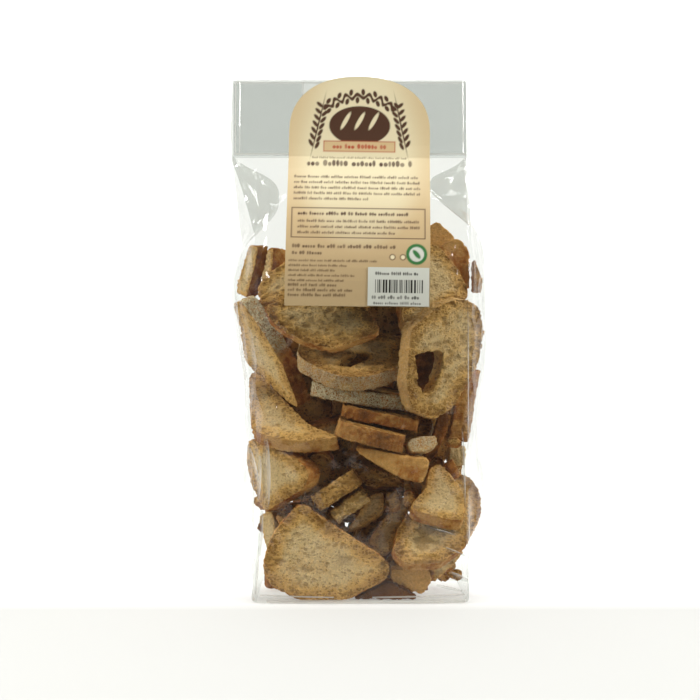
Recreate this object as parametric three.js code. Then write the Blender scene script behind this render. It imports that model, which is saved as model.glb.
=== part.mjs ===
// A clear block-bottom bag filled with pieces of twice-baked bread, closed by folding its flat top
// over to the back, with an arch-topped paper label and a small bar sticker on its front.
// Millimetres, +Z up, the front faces -Y, and the origin is the middle of the base on the table.
//
// The bag and what fills it are one solid out to the film: a flat base, a barrel that the bread
// pushes out, a taper where the side gussets tuck in between front and back, and a flat folded header.
import * as THREE from "three";

// ---- Driving dimensions ----
const HEIGHT = 331; // table to the fold at the top of the header
const HEADER_BOTTOM = 283; // free edge of the film that is folded over to the back
const FILLED_LEFT = 226; // the bread reaches about this high on the left
const FILLED_RIGHT = 238; // and this high on the right
const HALF_GUSSET = 45; // half of the side panel's width, so the tuck is this deep when flat
const FILM_STACK = 2.4; // the flattened film layers of the header, with the air between them
const FOLDED_FLAP = 1.3; // the folded-over film adds this behind the header
const BASE_ROUNDING = 3.5; // radius of the bag's bottom edge

// Label and sticker
const LABEL_WIDTH = 90;
const LABEL_BOTTOM = 185.5;
const LABEL_TOP = 333;
const LABEL_ARCH_RISE = 36; // height of the arched top
const LABEL_ARCH_POWER = 2.3; // 2 would be an ellipse, more is squarer
const LABEL_TURN = (0.9 * Math.PI) / 180; // it is stuck on slightly turned, its top to the right
const LABEL_THICKNESS = 0.4;
const STICKER_WIDTH = 38;
const STICKER_HEIGHT = 24;
const STICKER_INSET = 0.6; // from the label's right and lower edges
const STICKER_THICKNESS = 0.3;
const GAP = 0.35; // between sheets that lie on each other

// How each line of the bag runs up its height: [height, place] stations
const FRONT_FACE = [[0, -42], [40, -44], [110, -45.2], [185, -44.4], [213, -41.5], [243, -32], [268, -21.4], [283, -15.4], [331, -11.2]];
const BACK_FACE = [[0, 42], [40, 44.2], [110, 45.4], [190, 45.2], [215, 41], [244, 24], [268, 1.5], [283, -12.9]];
const LEFT_FRONT_FOLD = [[0, -67.5], [30, -64], [80, -58.5], [150, -60], [228, -64.5], [256, -72.5], [283, -81], [331, -81]];
const LEFT_BACK_FOLD = [[0, -68], [40, -68], [100, -68], [160, -71], [228, -78], [256, -80], [283, -81], [331, -81]];
const RIGHT_FRONT_FOLD = [[0, 69], [45, 66], [90, 67], [170, 68.5], [228, 70], [256, 69.5], [283, 69], [331, 69]];
const RIGHT_BACK_FOLD = [[0, 70], [45, 68], [90, 69], [170, 71], [228, 73], [256, 71.5], [283, 69], [331, 69]];
const LEFT_BULGE = [[0, 0], [30, 5], [70, 11.5], [120, 10.5], [150, 10], [175, 13], [200, 13.5], [220, 7], [236, 0]];
const RIGHT_BULGE = [[0, 0], [32, 9], [62, 14], [100, 9.5], [150, 12], [200, 11.8], [226, 7.5], [246, 0]];
const CORNER_SET_BACK = [[0, 2.5], [60, 8], [180, 8.5], [235, 5], [285, 0], [332.5, 0]];

// Where single pieces of bread press the film out: panel, place across (0 to 1), height, rise, radius
const PRESSED = [
  ["front", 0.22, 38, 1.6, 30],
  ["front", 0.8, 78, 1.8, 26],
  ["front", 0.16, 118, 1.6, 24],
  ["front", 0.84, 158, 1.6, 28],
  ["left", 0.35, 190, 2.2, 16],
  ["left", 0.6, 92, 1.6, 20],
  ["right", 0.4, 74, 1.8, 20],
  ["right", 0.55, 170, 1.6, 24],
  ["back", 0.25, 60, 1.8, 30],
  ["back", 0.72, 110, 1.8, 30],
  ["back", 0.35, 175, 1.8, 28],
];

// ---- Resolution ----
const ACROSS_FACE = 20; // steps across the front, and across the back
const ACROSS_SIDE = 12; // steps across each gusset
const ROW_STEP = 6.8;

const FILM = new THREE.MeshStandardMaterial({ color: 0xb58e5a, roughness: 0.25, metalness: 0 });
const PAPER = new THREE.MeshStandardMaterial({ color: 0xd9c39a, roughness: 0.6, metalness: 0 });
const WHITE_PAPER = new THREE.MeshStandardMaterial({ color: 0xc8c9c2, roughness: 0.55, metalness: 0 });

// A smooth curve through [height, value] stations.
function along(stations, z) {
  const last = stations.length - 1;
  if (z <= stations[0][0]) return stations[0][1];
  if (z >= stations[last][0]) return stations[last][1];
  const i = stations.findIndex(([height]) => height > z) - 1;
  const slope = (k) => {
    const [before, after] = [stations[Math.max(k - 1, 0)], stations[Math.min(k + 1, last)]];
    return (after[1] - before[1]) / (after[0] - before[0]);
  };
  const [[z0, v0], [z1, v1]] = [stations[i], stations[i + 1]];
  const span = z1 - z0;
  const t = (z - z0) / span;
  const [t2, t3] = [t * t, t * t * t];
  return (
    (2 * t3 - 3 * t2 + 1) * v0 +
    (t3 - 2 * t2 + t) * span * slope(i) +
    (3 * t2 - 2 * t3) * v1 +
    (t3 - t2) * span * slope(i + 1)
  );
}

const ease = (from, to, z) => THREE.MathUtils.smoothstep(z, from, to);

// The dents and lumps of a filled bag: long waves across a panel, out of step from panel to panel.
function lumps(across, z, phase) {
  const filled = ease(6, 40, z) * (1 - ease(FILLED_LEFT - 25, FILLED_LEFT + 20, z));
  const inner = Math.sin(Math.PI * across) ** 0.7;
  const wave =
    Math.cos(0.052 * z + 5.1 * across + phase) +
    0.7 * Math.cos(0.081 * z - 6.4 * across + 2.3 * phase) +
    0.4 * Math.cos(0.033 * z + 11 * across - phase);
  return 0.75 * filled * inner * wave;
}

function pressed(panel, across, z, panelWidth) {
  let rise = 0;
  for (const [name, place, height, most, radius] of PRESSED) {
    if (name !== panel) continue;
    const away = Math.hypot((across - place) * panelWidth, z - height) / radius;
    rise += most * Math.exp(-away * away);
  }
  return rise * Math.sin(Math.PI * across) ** 0.5;
}

// The label is stiffer than the film, and holds the panel flat across under itself.
function underLabel(x, z) {
  const beside = 1 - ease(LABEL_WIDTH / 2 + 1, LABEL_WIDTH / 2 + 16, Math.abs(x));
  return beside * ease(LABEL_BOTTOM - 22, LABEL_BOTTOM - 3, z);
}

// A point of the front panel. across runs from the left fold, 0, to the right fold, 1.
function frontPoint(across, z) {
  const x = THREE.MathUtils.lerp(along(LEFT_FRONT_FOLD, z), along(RIGHT_FRONT_FOLD, z), across);
  const set_back = along(CORNER_SET_BACK, z) * Math.abs(2 * across - 1) ** 3.4;
  const proud = lumps(across, z, 0.4) + pressed("front", across, z, 130);
  return [x, along(FRONT_FACE, z) + (set_back - proud) * (1 - underLabel(x, z))];
}

function backPoint(across, z) {
  const x = THREE.MathUtils.lerp(along(RIGHT_BACK_FOLD, z), along(LEFT_BACK_FOLD, z), across);
  const headerBack = along(FRONT_FACE, z) + FILM_STACK + FOLDED_FLAP;
  if (z > HEADER_BOTTOM) return [x, headerBack];
  const set_back = along(CORNER_SET_BACK, z) * Math.abs(2 * across - 1) ** 3.4;
  const proud = lumps(across, z, 2.6) + pressed("back", across, z, 130);
  return [x, along(BACK_FACE, z) - set_back + proud];
}

// A point of a gusset, from the front fold, 0, to the back fold, 1. Below it bulges out round the
// bread. Above it tucks in as a V, whose depth follows from the panel's width.
function sidePoint(side, across, z) {
  const right = side === "right";
  const front = frontPoint(right ? 1 : 0, z);
  const back = backPoint(right ? 0 : 1, z);
  const outward = right ? 1 : -1;
  const halfMouth = (back[1] - front[1]) / 2;
  const filledTo = right ? FILLED_RIGHT : FILLED_LEFT;
  const folded = ease(filledTo - 6, filledTo + 26, z) * (1 - ease(HEADER_BOTTOM - 18, HEADER_BOTTOM - 2, z));
  const tuck = 0.7 * folded * Math.sqrt(Math.max(HALF_GUSSET ** 2 - halfMouth ** 2, 0));
  const fromMiddle = Math.hypot(2 * across - 1, 0.12) / Math.hypot(1, 0.12);
  const bulge = along(right ? RIGHT_BULGE : LEFT_BULGE, z) * (1 - fromMiddle ** 2.3);
  const proud = lumps(across, z, right ? 4 : 1.3) + pressed(side, across, z, 90);
  const x = THREE.MathUtils.lerp(front[0], back[0], across);
  return [
    x + outward * (bulge + proud - tuck * (1 - fromMiddle)),
    THREE.MathUtils.lerp(front[1], back[1], across),
  ];
}

// The bag's outline at one height, anticlockwise seen from above.
function section(z) {
  const points = [];
  for (let i = 0; i < ACROSS_FACE; i++) points.push(frontPoint(i / ACROSS_FACE, z));
  for (let i = 0; i < ACROSS_SIDE; i++) points.push(sidePoint("right", i / ACROSS_SIDE, z));
  for (let i = 0; i < ACROSS_FACE; i++) points.push(backPoint(i / ACROSS_FACE, z));
  for (let i = ACROSS_SIDE; i > 0; i--) points.push(sidePoint("left", i / ACROSS_SIDE, z));
  return points;
}

// The outline drawn in towards its middle by inset, for a rounded edge.
function drawnIn(points, inset) {
  const middle = points.reduce(([sx, sy], [x, y]) => [sx + x, sy + y], [0, 0]).map((s) => s / points.length);
  return points.map(([x, y]) => {
    const from = [x - middle[0], y - middle[1]];
    const scale = 1 - inset / Math.max(Math.hypot(...from), inset * 2);
    return [middle[0] + from[0] * scale, middle[1] + from[1] * scale];
  });
}

// Rings of equally many points, closed by a fan at each end.
function stackedRings(rings) {
  const around = rings[0].length;
  const positions = rings.flat(2);
  const middleOf = (ring) => [0, 1, 2].map((k) => ring.reduce((sum, p) => sum + p[k], 0) / around);
  positions.push(...middleOf(rings[0]), ...middleOf(rings[rings.length - 1]));
  const [bottom, top] = [rings.length * around, rings.length * around + 1];
  const index = [];
  for (let i = 0; i < around; i++) {
    const next = (i + 1) % around;
    for (let r = 0; r + 1 < rings.length; r++) {
      const [low, high] = [r * around, (r + 1) * around];
      index.push(low + i, low + next, high + next, low + i, high + next, high + i);
    }
    const last = (rings.length - 1) * around;
    index.push(bottom, next, i, top, last + i, last + next);
  }
  const geometry = new THREE.BufferGeometry();
  geometry.setAttribute("position", new THREE.Float32BufferAttribute(positions, 3));
  geometry.setIndex(index);
  geometry.computeVertexNormals();
  return geometry;
}

function bagGeometry() {
  const rings = [];
  const ring = (z, inset = 0, outlineAt = z) => {
    const outline = section(outlineAt);
    rings.push((inset > 0 ? drawnIn(outline, inset) : outline).map(([x, y]) => [x, y, z]));
  };
  for (const turn of [0, 30, 60]) {
    const a = THREE.MathUtils.degToRad(turn);
    ring(BASE_ROUNDING * (1 - Math.cos(a)), BASE_ROUNDING * (1 - Math.sin(a)), BASE_ROUNDING);
  }
  const rows = Math.round((HEADER_BOTTOM - BASE_ROUNDING) / ROW_STEP);
  for (let i = 0; i <= rows; i++) ring(THREE.MathUtils.lerp(BASE_ROUNDING, HEADER_BOTTOM, i / rows));
  const ledge = 0.6;
  const headerRows = 5;
  for (let i = 0; i <= headerRows; i++) {
    ring(THREE.MathUtils.lerp(HEADER_BOTTOM + ledge, HEIGHT - FILM_STACK / 2, i / headerRows));
  }
  ring(HEIGHT, FILM_STACK / 3, HEIGHT - FILM_STACK / 2);
  return stackedRings(rings);
}

// A thin sheet that lies on the front panel: rows of [left, right] ends, lowest first, each end an
// [x, z] place, with its face standing off the panel.
function sheetGeometry(rows, columns, standOff, thickness) {
  const rings = rows.map(([left, right]) => {
    const at = (i, depth) => {
      const x = THREE.MathUtils.lerp(left[0], right[0], i / columns);
      const z = THREE.MathUtils.lerp(left[1], right[1], i / columns);
      return [x, along(FRONT_FACE, z) - standOff - depth, z];
    };
    const face = [];
    const reverse = [];
    for (let i = 0; i <= columns; i++) {
      face.push(at(i, thickness));
      reverse.unshift(at(i, 0));
    }
    return [...face, ...reverse];
  });
  return stackedRings(rings);
}

// A place on the label, from its upright axis and its lower edge, after the label's slight turn.
function onLabel(u, v) {
  const middle = (LABEL_TOP - LABEL_BOTTOM) / 2;
  const [cos, sin] = [Math.cos(LABEL_TURN), Math.sin(LABEL_TURN)];
  return [u * cos + (v - middle) * sin, LABEL_BOTTOM + middle - u * sin + (v - middle) * cos];
}

function labelGeometry() {
  const straight = LABEL_TOP - LABEL_BOTTOM - LABEL_ARCH_RISE;
  const half = LABEL_WIDTH / 2;
  const rows = [];
  const row = (halfWidth, v) => rows.push([onLabel(-halfWidth, v), onLabel(halfWidth, v)]);
  const straightRows = 14;
  for (let i = 0; i < straightRows; i++) row(half, (straight * i) / straightRows);
  const archRows = 12;
  for (let i = 0; i <= archRows; i++) {
    const a = (i / archRows) * 0.485 * Math.PI;
    const power = 2 / LABEL_ARCH_POWER;
    row(half * Math.cos(a) ** power, straight + LABEL_ARCH_RISE * Math.sin(a) ** power);
  }
  return sheetGeometry(rows, 6, GAP, LABEL_THICKNESS);
}

function stickerGeometry() {
  const right = LABEL_WIDTH / 2 - STICKER_INSET;
  const rows = [];
  const steps = 5;
  for (let i = 0; i <= steps; i++) {
    const v = STICKER_INSET + (STICKER_HEIGHT * i) / steps;
    rows.push([onLabel(right - STICKER_WIDTH, v), onLabel(right, v)]);
  }
  return sheetGeometry(rows, 4, 2 * GAP + LABEL_THICKNESS, STICKER_THICKNESS);
}

function named(name, geometry, material) {
  const mesh = new THREE.Mesh(geometry, material);
  mesh.name = name;
  return mesh;
}

const pack = new THREE.Group();
pack.add(named("bag", bagGeometry(), FILM));
pack.add(named("label", labelGeometry(), PAPER));
pack.add(named("bar_sticker", stickerGeometry(), WHITE_PAPER));

// The origin goes to the middle of the whole pack's base.
const extent = new THREE.Box3().setFromObject(pack);
const middle = extent.getCenter(new THREE.Vector3());
for (const mesh of pack.children) mesh.geometry.translate(-middle.x, -middle.y, -extent.min.z);

export default pack;
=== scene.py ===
"""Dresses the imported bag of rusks: clear film, the slices in it, a printed label and a bar sticker.

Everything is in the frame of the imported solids: metres, +Z up, the labelled front towards -Y.
Lengths in this file are millimetres, and MM turns them to metres.
"""

import math
import random
from dataclasses import dataclass, field

import bpy
import numpy as np
from mathutils import Matrix, Vector, noise
from mathutils.bvhtree import BVHTree


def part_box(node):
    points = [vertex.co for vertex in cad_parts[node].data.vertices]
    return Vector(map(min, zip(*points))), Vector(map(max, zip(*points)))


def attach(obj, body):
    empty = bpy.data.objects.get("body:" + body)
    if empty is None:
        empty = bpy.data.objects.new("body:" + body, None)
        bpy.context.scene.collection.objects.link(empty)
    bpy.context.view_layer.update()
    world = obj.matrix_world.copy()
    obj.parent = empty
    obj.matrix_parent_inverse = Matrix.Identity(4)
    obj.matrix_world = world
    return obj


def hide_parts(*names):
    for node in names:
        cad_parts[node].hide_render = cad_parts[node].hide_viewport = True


bl_info = {
    "name": "Bag of rusks",
    "version": (1, 0, 0),
    "blender": (4, 5, 0),
    "location": "View3D > Sidebar > Rusks",
    "description": "A clear block-bottom bag of twice-baked bread slices with a paper label",
    "category": "Object",
}

MM = 0.001
SEED = 11

# The photograph's view: from 0.9 m in front, 456.4 mm wide where the bag stands.
CAMERA_PLACE = Vector((-5.9, -900, 175)) * MM
CAMERA_TILT = 1.1  # degrees that it looks down
VIEW_WIDTH = 456.4 * MM
SENSOR_WIDTH = 36
IN_FRONT = -0.2  # a place in front of the bag, in metres, from where rays are cast back

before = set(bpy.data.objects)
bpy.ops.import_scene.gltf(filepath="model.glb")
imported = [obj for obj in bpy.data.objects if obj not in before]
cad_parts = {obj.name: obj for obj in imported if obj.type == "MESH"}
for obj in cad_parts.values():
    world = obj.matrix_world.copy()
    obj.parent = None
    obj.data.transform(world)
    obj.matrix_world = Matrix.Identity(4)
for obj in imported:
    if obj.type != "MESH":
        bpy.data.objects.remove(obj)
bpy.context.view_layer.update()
LABEL_LOW, LABEL_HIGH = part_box("label")
LABEL_MIDDLE = np.array([(LABEL_LOW.x + LABEL_HIGH.x) / 2, (LABEL_LOW.z + LABEL_HIGH.z) / 2]) / MM
LABEL_REACH = np.array([LABEL_HIGH.x - LABEL_LOW.x, LABEL_HIGH.z - LABEL_LOW.z]) / 2 / MM

# ---- The slices that show through the front ----
# Outlines are given as they look from straight in front, in millimetres across and up.


@dataclass
class Bread:
    """One piece of bread: an outline in its own plane, and where that plane stands."""

    name: str
    outline: list
    origin: Vector
    across: Vector
    up: Vector
    thickness: float
    holes: list = field(default_factory=list)
    corner: float = 5.0  # radius that rounds the outline's corners
    # toast and bake also darken the pieces deep in the heap, as painted shade.
    toast: float = 0.5  # how brown the crumb is, 0 to 1
    bake: float = 0.5  # how dark the crust is, 0 to 1
    flour: float = 0.0  # how much flour lies on the crust, 0 to 1
    floury_above: float = -300.0  # where the flour ends, as a height in the slice's own plane
    pores: float = 0.5  # how open the crumb is, 0 to 1
    cut: float = 0.0  # 1 where the edge was cut and has no crust
    skin: float = 0.0  # 1 where the broad faces are crust too


# Where the bulging edge of a slice seen edge-on has its points, as shares of half its length, and
# the width of its back as a share of its front's.
NOSE_POINTS = (-1, -0.62, -0.2, 0.2, 0.62, 1)
BACK_SHARE = 0.94


def facing(name, seen, depth, lean, thickness=11.0, hole=None, **look):
    """A slice whose broad face shows. depth is how far back its middle is, and lean how much
    further back it goes for each millimetre across and up."""
    points = [Vector((x, 0, z)) for x, z in seen]
    middle = sum(points, Vector()) / len(points)
    middle.y = depth
    normal = Vector((lean[0], -1, lean[1])).normalized()
    up = (Vector((0, 0, 1)) - normal * normal.z).normalized()
    across = up.cross(normal)

    def in_plane(x, z):
        away = Vector((x - middle.x, 0, z - middle.z))
        away.y = lean[0] * away.x + lean[1] * away.z
        return (away.dot(across), away.dot(up))

    outline = [in_plane(x, z) for x, z in seen]
    holes = [[in_plane(x, z) for x, z in hole]] if hole else []
    return Bread(name, outline, middle, across, up, thickness, holes, **look)


def edge_on(name, start, end, front, back, nose=3.0, opened=4.0, thickness=11.0, hole=None, **look):
    """A slice whose crust side shows, from start to end. It reaches back from front, its edge
    bulges by nose, and opened is the angle in degrees that tips its upper face into view."""
    start, end = Vector((start[0], 0, start[1])), Vector((end[0], 0, end[1]))
    run = (end - start).normalized()
    half = (end - start).length / 2
    above = Vector((-run.z, 0, run.x))
    angle = math.radians(opened)
    backwards = math.cos(angle) * Vector((0, 1, 0)) + math.sin(angle) * above
    normal = run.cross(backwards)
    nose_curve = [(half * t, -nose * (1 - t * t)) for t in NOSE_POINTS]
    outline = nose_curve + [(half * BACK_SHARE, back), (-half * BACK_SHARE, back)]
    origin = (start + end) / 2 + normal * (thickness / 2)
    origin.y = front + nose * math.cos(angle)
    holes = [hole] if hole else []
    return Bread(name, outline, origin, run, backwards, thickness, holes, **look)


FRONT_BREAD = [
    facing("foot_left", [(-37, 63), (-9, 43), (12, 30), (20, 23), (18, 14), (-9, 1), (-37, 1),
                         (-58, 12), (-61, 23), (-55, 43)], -34, (0.05, 0.12), 11,
           corner=6, toast=0.05, bake=0.3, pores=0.55),
    facing("low_right_upper", [(45, 83), (51, 86), (58, 79), (65, 70), (67.5, 60), (65, 51), (51, 53),
                               (36, 57), (32, 61), (42, 70)], -27, (0.1, 0.7), 14, corner=3,
           toast=-0.2, bake=0.15, pores=0.3),
    facing("low_right_lower", [(60, 79), (73, 75), (79, 65), (79, 53), (67, 34), (51, 24), (29, 24),
                               (21, 31), (24, 45), (41, 64)], -19, (0.12, 0.7), 9,
           toast=0.05, bake=0.3, pores=0.9),
    facing("foot_right", [(20, 19), (43, 19.5), (46, 12), (40, 2.5), (20, 12)], -28, (0, -0.1), 10,
           corner=2, toast=0.3, bake=-0.35, pores=0.3, skin=1.0),
    facing("foot_right_end", [(47, 22), (53, 26), (64, 30), (68, 27), (60, 19), (48, 10)],
           -15, (0.5, 0.2), 10, corner=2, toast=-0.1, bake=0.2, cut=0.8),
    edge_on("stick_upper", (-28, 60.5), (-1, 78.5), -31, 21, 1.5, -4, 11, corner=2,
            toast=0.4, bake=0.2, pores=0.4, cut=1.0),
    edge_on("stick_lower", (-16.5, 51.5), (4, 67), -28, 19, 1, -4, 9.5, corner=1.5, toast=0.0,
            bake=0.4, pores=1.0, cut=1.0),
    facing("behind_sticks", [(-8, 41), (7, 64), (16, 66), (16, 53), (4, 45)], -9, (0, 0.3), 11,
           corner=3, toast=-0.3, bake=0.1, pores=0.3, cut=0.5),
    facing("middle_strip", [(6, 36), (16, 49), (25, 60), (29, 64), (33, 57), (26, 44), (19, 28),
                            (10, 26)], -12, (0, 0.3), 11, corner=3, toast=-0.3, bake=-0.1, pores=0.3),
    facing("left_sliver", [(-65, 50), (-56, 54), (-51, 22), (-59, 21)], -9, (-0.7, 0), 9,
           corner=3, toast=-0.5, bake=0.3, pores=0.2, cut=1.0),
    facing("left_low", [(-72, 100.5), (-60, 97.5), (-37, 88.5), (-31, 81), (-34, 72), (-61, 53),
                        (-71, 72), (-74, 86)], -17, (-0.87, 0.0), 12, toast=-0.05, bake=0.4,
           pores=0.6),
    facing("left_boat", [(-73, 140), (-69, 145), (-44, 122), (-32, 111), (-11, 104), (-37, 101),
                         (-60, 104), (-69, 108)], -16, (-0.2, 1.1), 12, toast=-0.05, bake=0.15,
           pores=0.35),
    facing("left_floury", [(-82, 188), (-76, 190), (-61, 169), (-48, 147), (-38, 120), (-46, 124),
                           (-68, 144), (-75, 151), (-77, 171)], -11, (-0.9, -0.4), 13,
           corner=4, toast=-0.1, bake=0.5, flour=1.0, floury_above=0, pores=0.25),
    facing("top_left_pale", [(-80.5, 195), (-79, 203), (-71.5, 226), (-65, 225), (-67, 214),
                             (-73, 192)], -2, (-0.8, 0), 10, corner=2, toast=-0.35, bake=0.5,
           pores=0.2),
    facing("top_left_golden", [(-67.5, 198), (-66, 210), (-62, 224), (-56.5, 226), (-57, 213),
                               (-61, 198)], 17, (-0.7, 0.1), 14, corner=2, toast=-0.2, bake=0.4),
    facing("under_label_back", [(-66, 198), (-61, 206), (-45, 218), (-22, 225), (-11, 212),
                                (-15, 195), (-37, 190), (-60, 188), (-65, 191)], -6, (-0.15, 0.2),
           11, corner=3, toast=-0.05, bake=0.1, pores=0.4),
    facing("under_label_front", [(-61, 185), (-44, 193), (-18, 196), (2, 189), (14, 170), (-15, 159),
                                 (-34, 163), (-52, 173)], -34, (0, 0.35), 10, toast=0.2, bake=0.3,
           pores=1.0),
    edge_on("holed_shelf", (-40, 150.5), (30, 146), -42, 28, 20, 36, 12, corner=5,
            hole=[(-9, -8), (-2, -10), (5, -4), (12, 2), (9, 8), (0, 6), (-6, 0)],
            toast=0.15, bake=0.4, flour=0.6, pores=0.8),
    edge_on("floury_shelf", (-31, 133.5), (32, 124), -31, 30, 7, 5, 9.5, toast=0.6, bake=0.5,
            flour=0.9),
    edge_on("brown_shelf", (-11, 119.9), (37, 110.2), -34, 28, 3, 5, 8.2, corner=2, toast=0.6,
            bake=0.5, pores=0.9),
    edge_on("golden_shelf", (-14.5, 109.5), (28, 99), -42, 34, 5, 4, 11, corner=3, toast=0.6,
            bake=0.45, flour=0.05),
    facing("floury_end", [(30, 102), (38, 104), (49, 104.5), (49, 98), (43, 94.5), (31, 94)], -33,
           (0.1, 0.3), 10, corner=4, toast=0.5, bake=0.3, flour=0.7, skin=1.0),
    facing("tan_shelf", [(-3, 97.5), (12, 96), (25, 92.5), (44, 90), (42.5, 82), (39, 75), (25, 79),
                         (13, 85.5), (1, 93)], -38, (0, 0.05), 29, corner=2.5, toast=0.4, bake=0.15,
           pores=0.4, skin=1.0),
    # Dark brown under the tan shelf: painted shade.
    facing("dark_under_tan", [(-7, 86), (4, 82), (27, 74), (30, 68), (5, 69), (-7, 78)], 0,
           (0, 0.4), 10, corner=3, toast=0.9, bake=0.8),
    # Its flour is painted light: it pales the left-facing crust side, which the lamps reach weakly.
    facing("right_ring", [(32, 172), (52, 188), (66, 191), (77, 185), (80, 171), (77, 149),
                          (59, 120), (47, 114), (33, 120), (29, 137)], -29, (0.59, -0.1), 12,
           hole=[(35, 156), (53, 158), (53, 148), (46, 131), (40, 130), (36, 144)],
           corner=4, toast=0.1, bake=-0.3, flour=0.3, pores=0.9, cut=0.3),
    facing("right_tall", [(42, 227), (49, 227), (55, 223), (64.5, 210.5), (71, 198), (70, 191),
                          (51, 184), (41, 174), (28, 174), (26, 190), (33, 214)], -11, (0.3, 0.4), 11,
           corner=3, toast=-0.1, bake=0.1, pores=0.9),
    facing("top_right_orange", [(42, 239), (48, 240), (51.5, 243), (59, 236.5), (64, 232), (60, 223),
                                (42, 223)], 16, (0, 0.1), 6,
           corner=2, toast=0.1, bake=-0.1, pores=0.3, skin=1.0),
    facing("top_right_brown", [(54, 226), (63, 231), (67, 230), (72.5, 222), (72.5, 197), (68, 202),
                               (57, 216)], 6, (0.1, 0), 8,
           corner=2, toast=0.5, bake=0.2, pores=0.1, skin=1.0),
    facing("top_right_grey", [(74.5, 217), (76, 216), (80.8, 204), (80, 195.5), (74.2, 196)], 0,
           (0.05, 0.1), 9, corner=2, toast=0.1, bake=0.4, flour=0.3, pores=0.1, skin=1.0),
    edge_on("right_upright", (72.5, 146), (64.5, 98), -5, 14, 2, 0, 13, corner=3, toast=0.6,
            bake=0.3),
    edge_on("right_upright_pale", (64, 94.5), (63, 83), -7, 22, 1, 0, 10.5, corner=2.5, toast=-0.6,
            bake=0.2, pores=0.1, cut=1.0),
    # From here on, all but base_left and base_right lie deep in the heap; their dark brown is painted shade.
    facing("right_dark", [(52, 117), (58, 117), (57, 106), (50, 90), (44.5, 84), (42, 90), (47, 100)],
           -6, (0, 0.1), 10, corner=3, toast=0.9, bake=0.8, skin=1.0),
    facing("behind_ring", [(36, 160), (56, 160), (57, 146), (49, 128), (39, 128), (35, 142)], -8,
           (0.59, -0.1), 9, corner=3, toast=0.9, bake=0.9, skin=1.0),
    facing("behind_shelf", [(-12, 149), (30, 149), (29, 194), (-4, 197)], 10, (0.1, 0.2), 11,
           toast=0.8, bake=0.8),
    facing("left_inner", [(-52, 146), (-28, 146), (-18, 132), (-17, 104), (-24, 90), (-48, 96)],
           9, (0.05, 0.1), 11, toast=0.75, bake=0.8),
    facing("centre_inner", [(-34, 104), (14, 108), (27, 96), (34, 78), (34, 62), (4, 46), (-32, 60)],
           21, (0.1, 0.15), 11, toast=0.7, bake=0.7),
    facing("base_front", [(-4, 0.8), (8, 7), (17, 11.5), (21, 10), (37, 2.2), (36, 0.8)], -31, (0, 0), 8,
           corner=1.5, toast=0.9, bake=1.1, skin=1.0),
    edge_on("base_left", (-62, 7), (-16, 7), -6, 30, 3, 3, 9.5, toast=0.5, bake=0.5),
    edge_on("base_right", (-8, 6.5), (45, 6.5), -14, 34, 3, 3, 9.5, toast=0.6, bake=0.4),
    facing("low_inner", [(-50, 56), (-30, 58), (-11, 44), (-11, 22), (-48, 22)],
           7, (0.1, 0.1), 11, toast=0.7, bake=0.7),
    facing("right_inner", [(30, 128), (56, 134), (64, 110), (62, 86), (46, 78), (37, 98)],
           26, (-0.1, 0.1), 11, toast=0.7, bake=0.7),
    facing("high_left_inner", [(-70, 190), (-44, 196), (-28, 188), (-26, 160), (-44, 146), (-66, 158)],
           15, (-0.1, 0.1), 11, toast=0.7, bake=0.7),
    facing("high_right_inner", [(34, 214), (56, 210), (66, 186), (63, 140), (34, 134), (32, 180)],
           14, (0.1, 0.1), 11, toast=0.7, bake=0.7),
]


# ---- Small helpers ----
def linear(hexcode, alpha=1.0):
    """An sRGB hex colour as the linear values that nodes take."""
    channels = [int(hexcode[i:i + 2], 16) / 255 for i in (1, 3, 5)]
    return [c / 12.92 if c <= 0.04045 else ((c + 0.055) / 1.055) ** 2.4 for c in channels] + [alpha]


def alone(obj):
    """Makes obj the only selected object, and the active one."""
    bpy.ops.object.select_all(action="DESELECT")
    obj.select_set(True)
    bpy.context.view_layer.objects.active = obj


def added(name):
    """The object that was just added, under its own name."""
    obj = bpy.context.object
    obj.name = name
    obj.data.name = name
    return obj


def finish_with(obj, kind, **settings):
    """Adds a modifier, sets it and applies it."""
    alone(obj)
    modifier = obj.modifiers.new(kind.title(), kind)
    for key, value in settings.items():
        setattr(modifier, key, value)
    bpy.ops.object.modifier_apply(modifier=modifier.name)


def vertices_of(obj, what="co"):
    values = np.empty(len(obj.data.vertices) * 3, np.float32)
    obj.data.vertices.foreach_get(what, values)
    return values.reshape(-1, 3).astype(float)


def move_vertices(obj, places):
    obj.data.vertices.foreach_set("co", places.astype(np.float32).ravel())
    obj.data.update()


def mark(obj, name, values):
    """Stores one number for each vertex, for the material to read."""
    layer = obj.data.attributes.new(name, "FLOAT", "POINT")
    layer.data.foreach_set("value", np.asarray(values, np.float32))


def paint(obj, name, colours):
    """Stores one linear colour for each vertex, for the material to read."""
    layer = obj.data.attributes.new(name, "FLOAT_COLOR", "POINT")
    rgba = np.ones((len(obj.data.vertices), 4), np.float32)
    rgba[:, :3] = colours
    layer.data.foreach_set("color", rgba.ravel())


def ease(low, high, value):
    """Rises smoothly from 0 to 1 as value goes from low to high."""
    t = np.clip((np.asarray(value, float) - low) / (high - low), 0, 1)
    return t * t * (3 - 2 * t)


def node(tree, kind, inputs=None, **settings):
    """Adds a node. inputs maps a socket to a value, to a node whose first output it takes, or to
    a (node, output)."""
    made = tree.nodes.new(kind)
    for key, value in settings.items():
        setattr(made, key, value)
    for key, value in (inputs or {}).items():
        if isinstance(value, bpy.types.Node):
            value = (value, 0)
        if isinstance(value, tuple) and isinstance(value[0], bpy.types.Node):
            tree.links.new(value[0].outputs[value[1]], made.inputs[key])
        else:
            made.inputs[key].default_value = value
    return made


def new_material(name):
    material = bpy.data.materials.new(name)
    material.use_nodes = True
    material.node_tree.nodes.clear()
    return material, material.node_tree


def dress(obj, material):
    obj.data.materials.clear()
    obj.data.materials.append(material)


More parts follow.
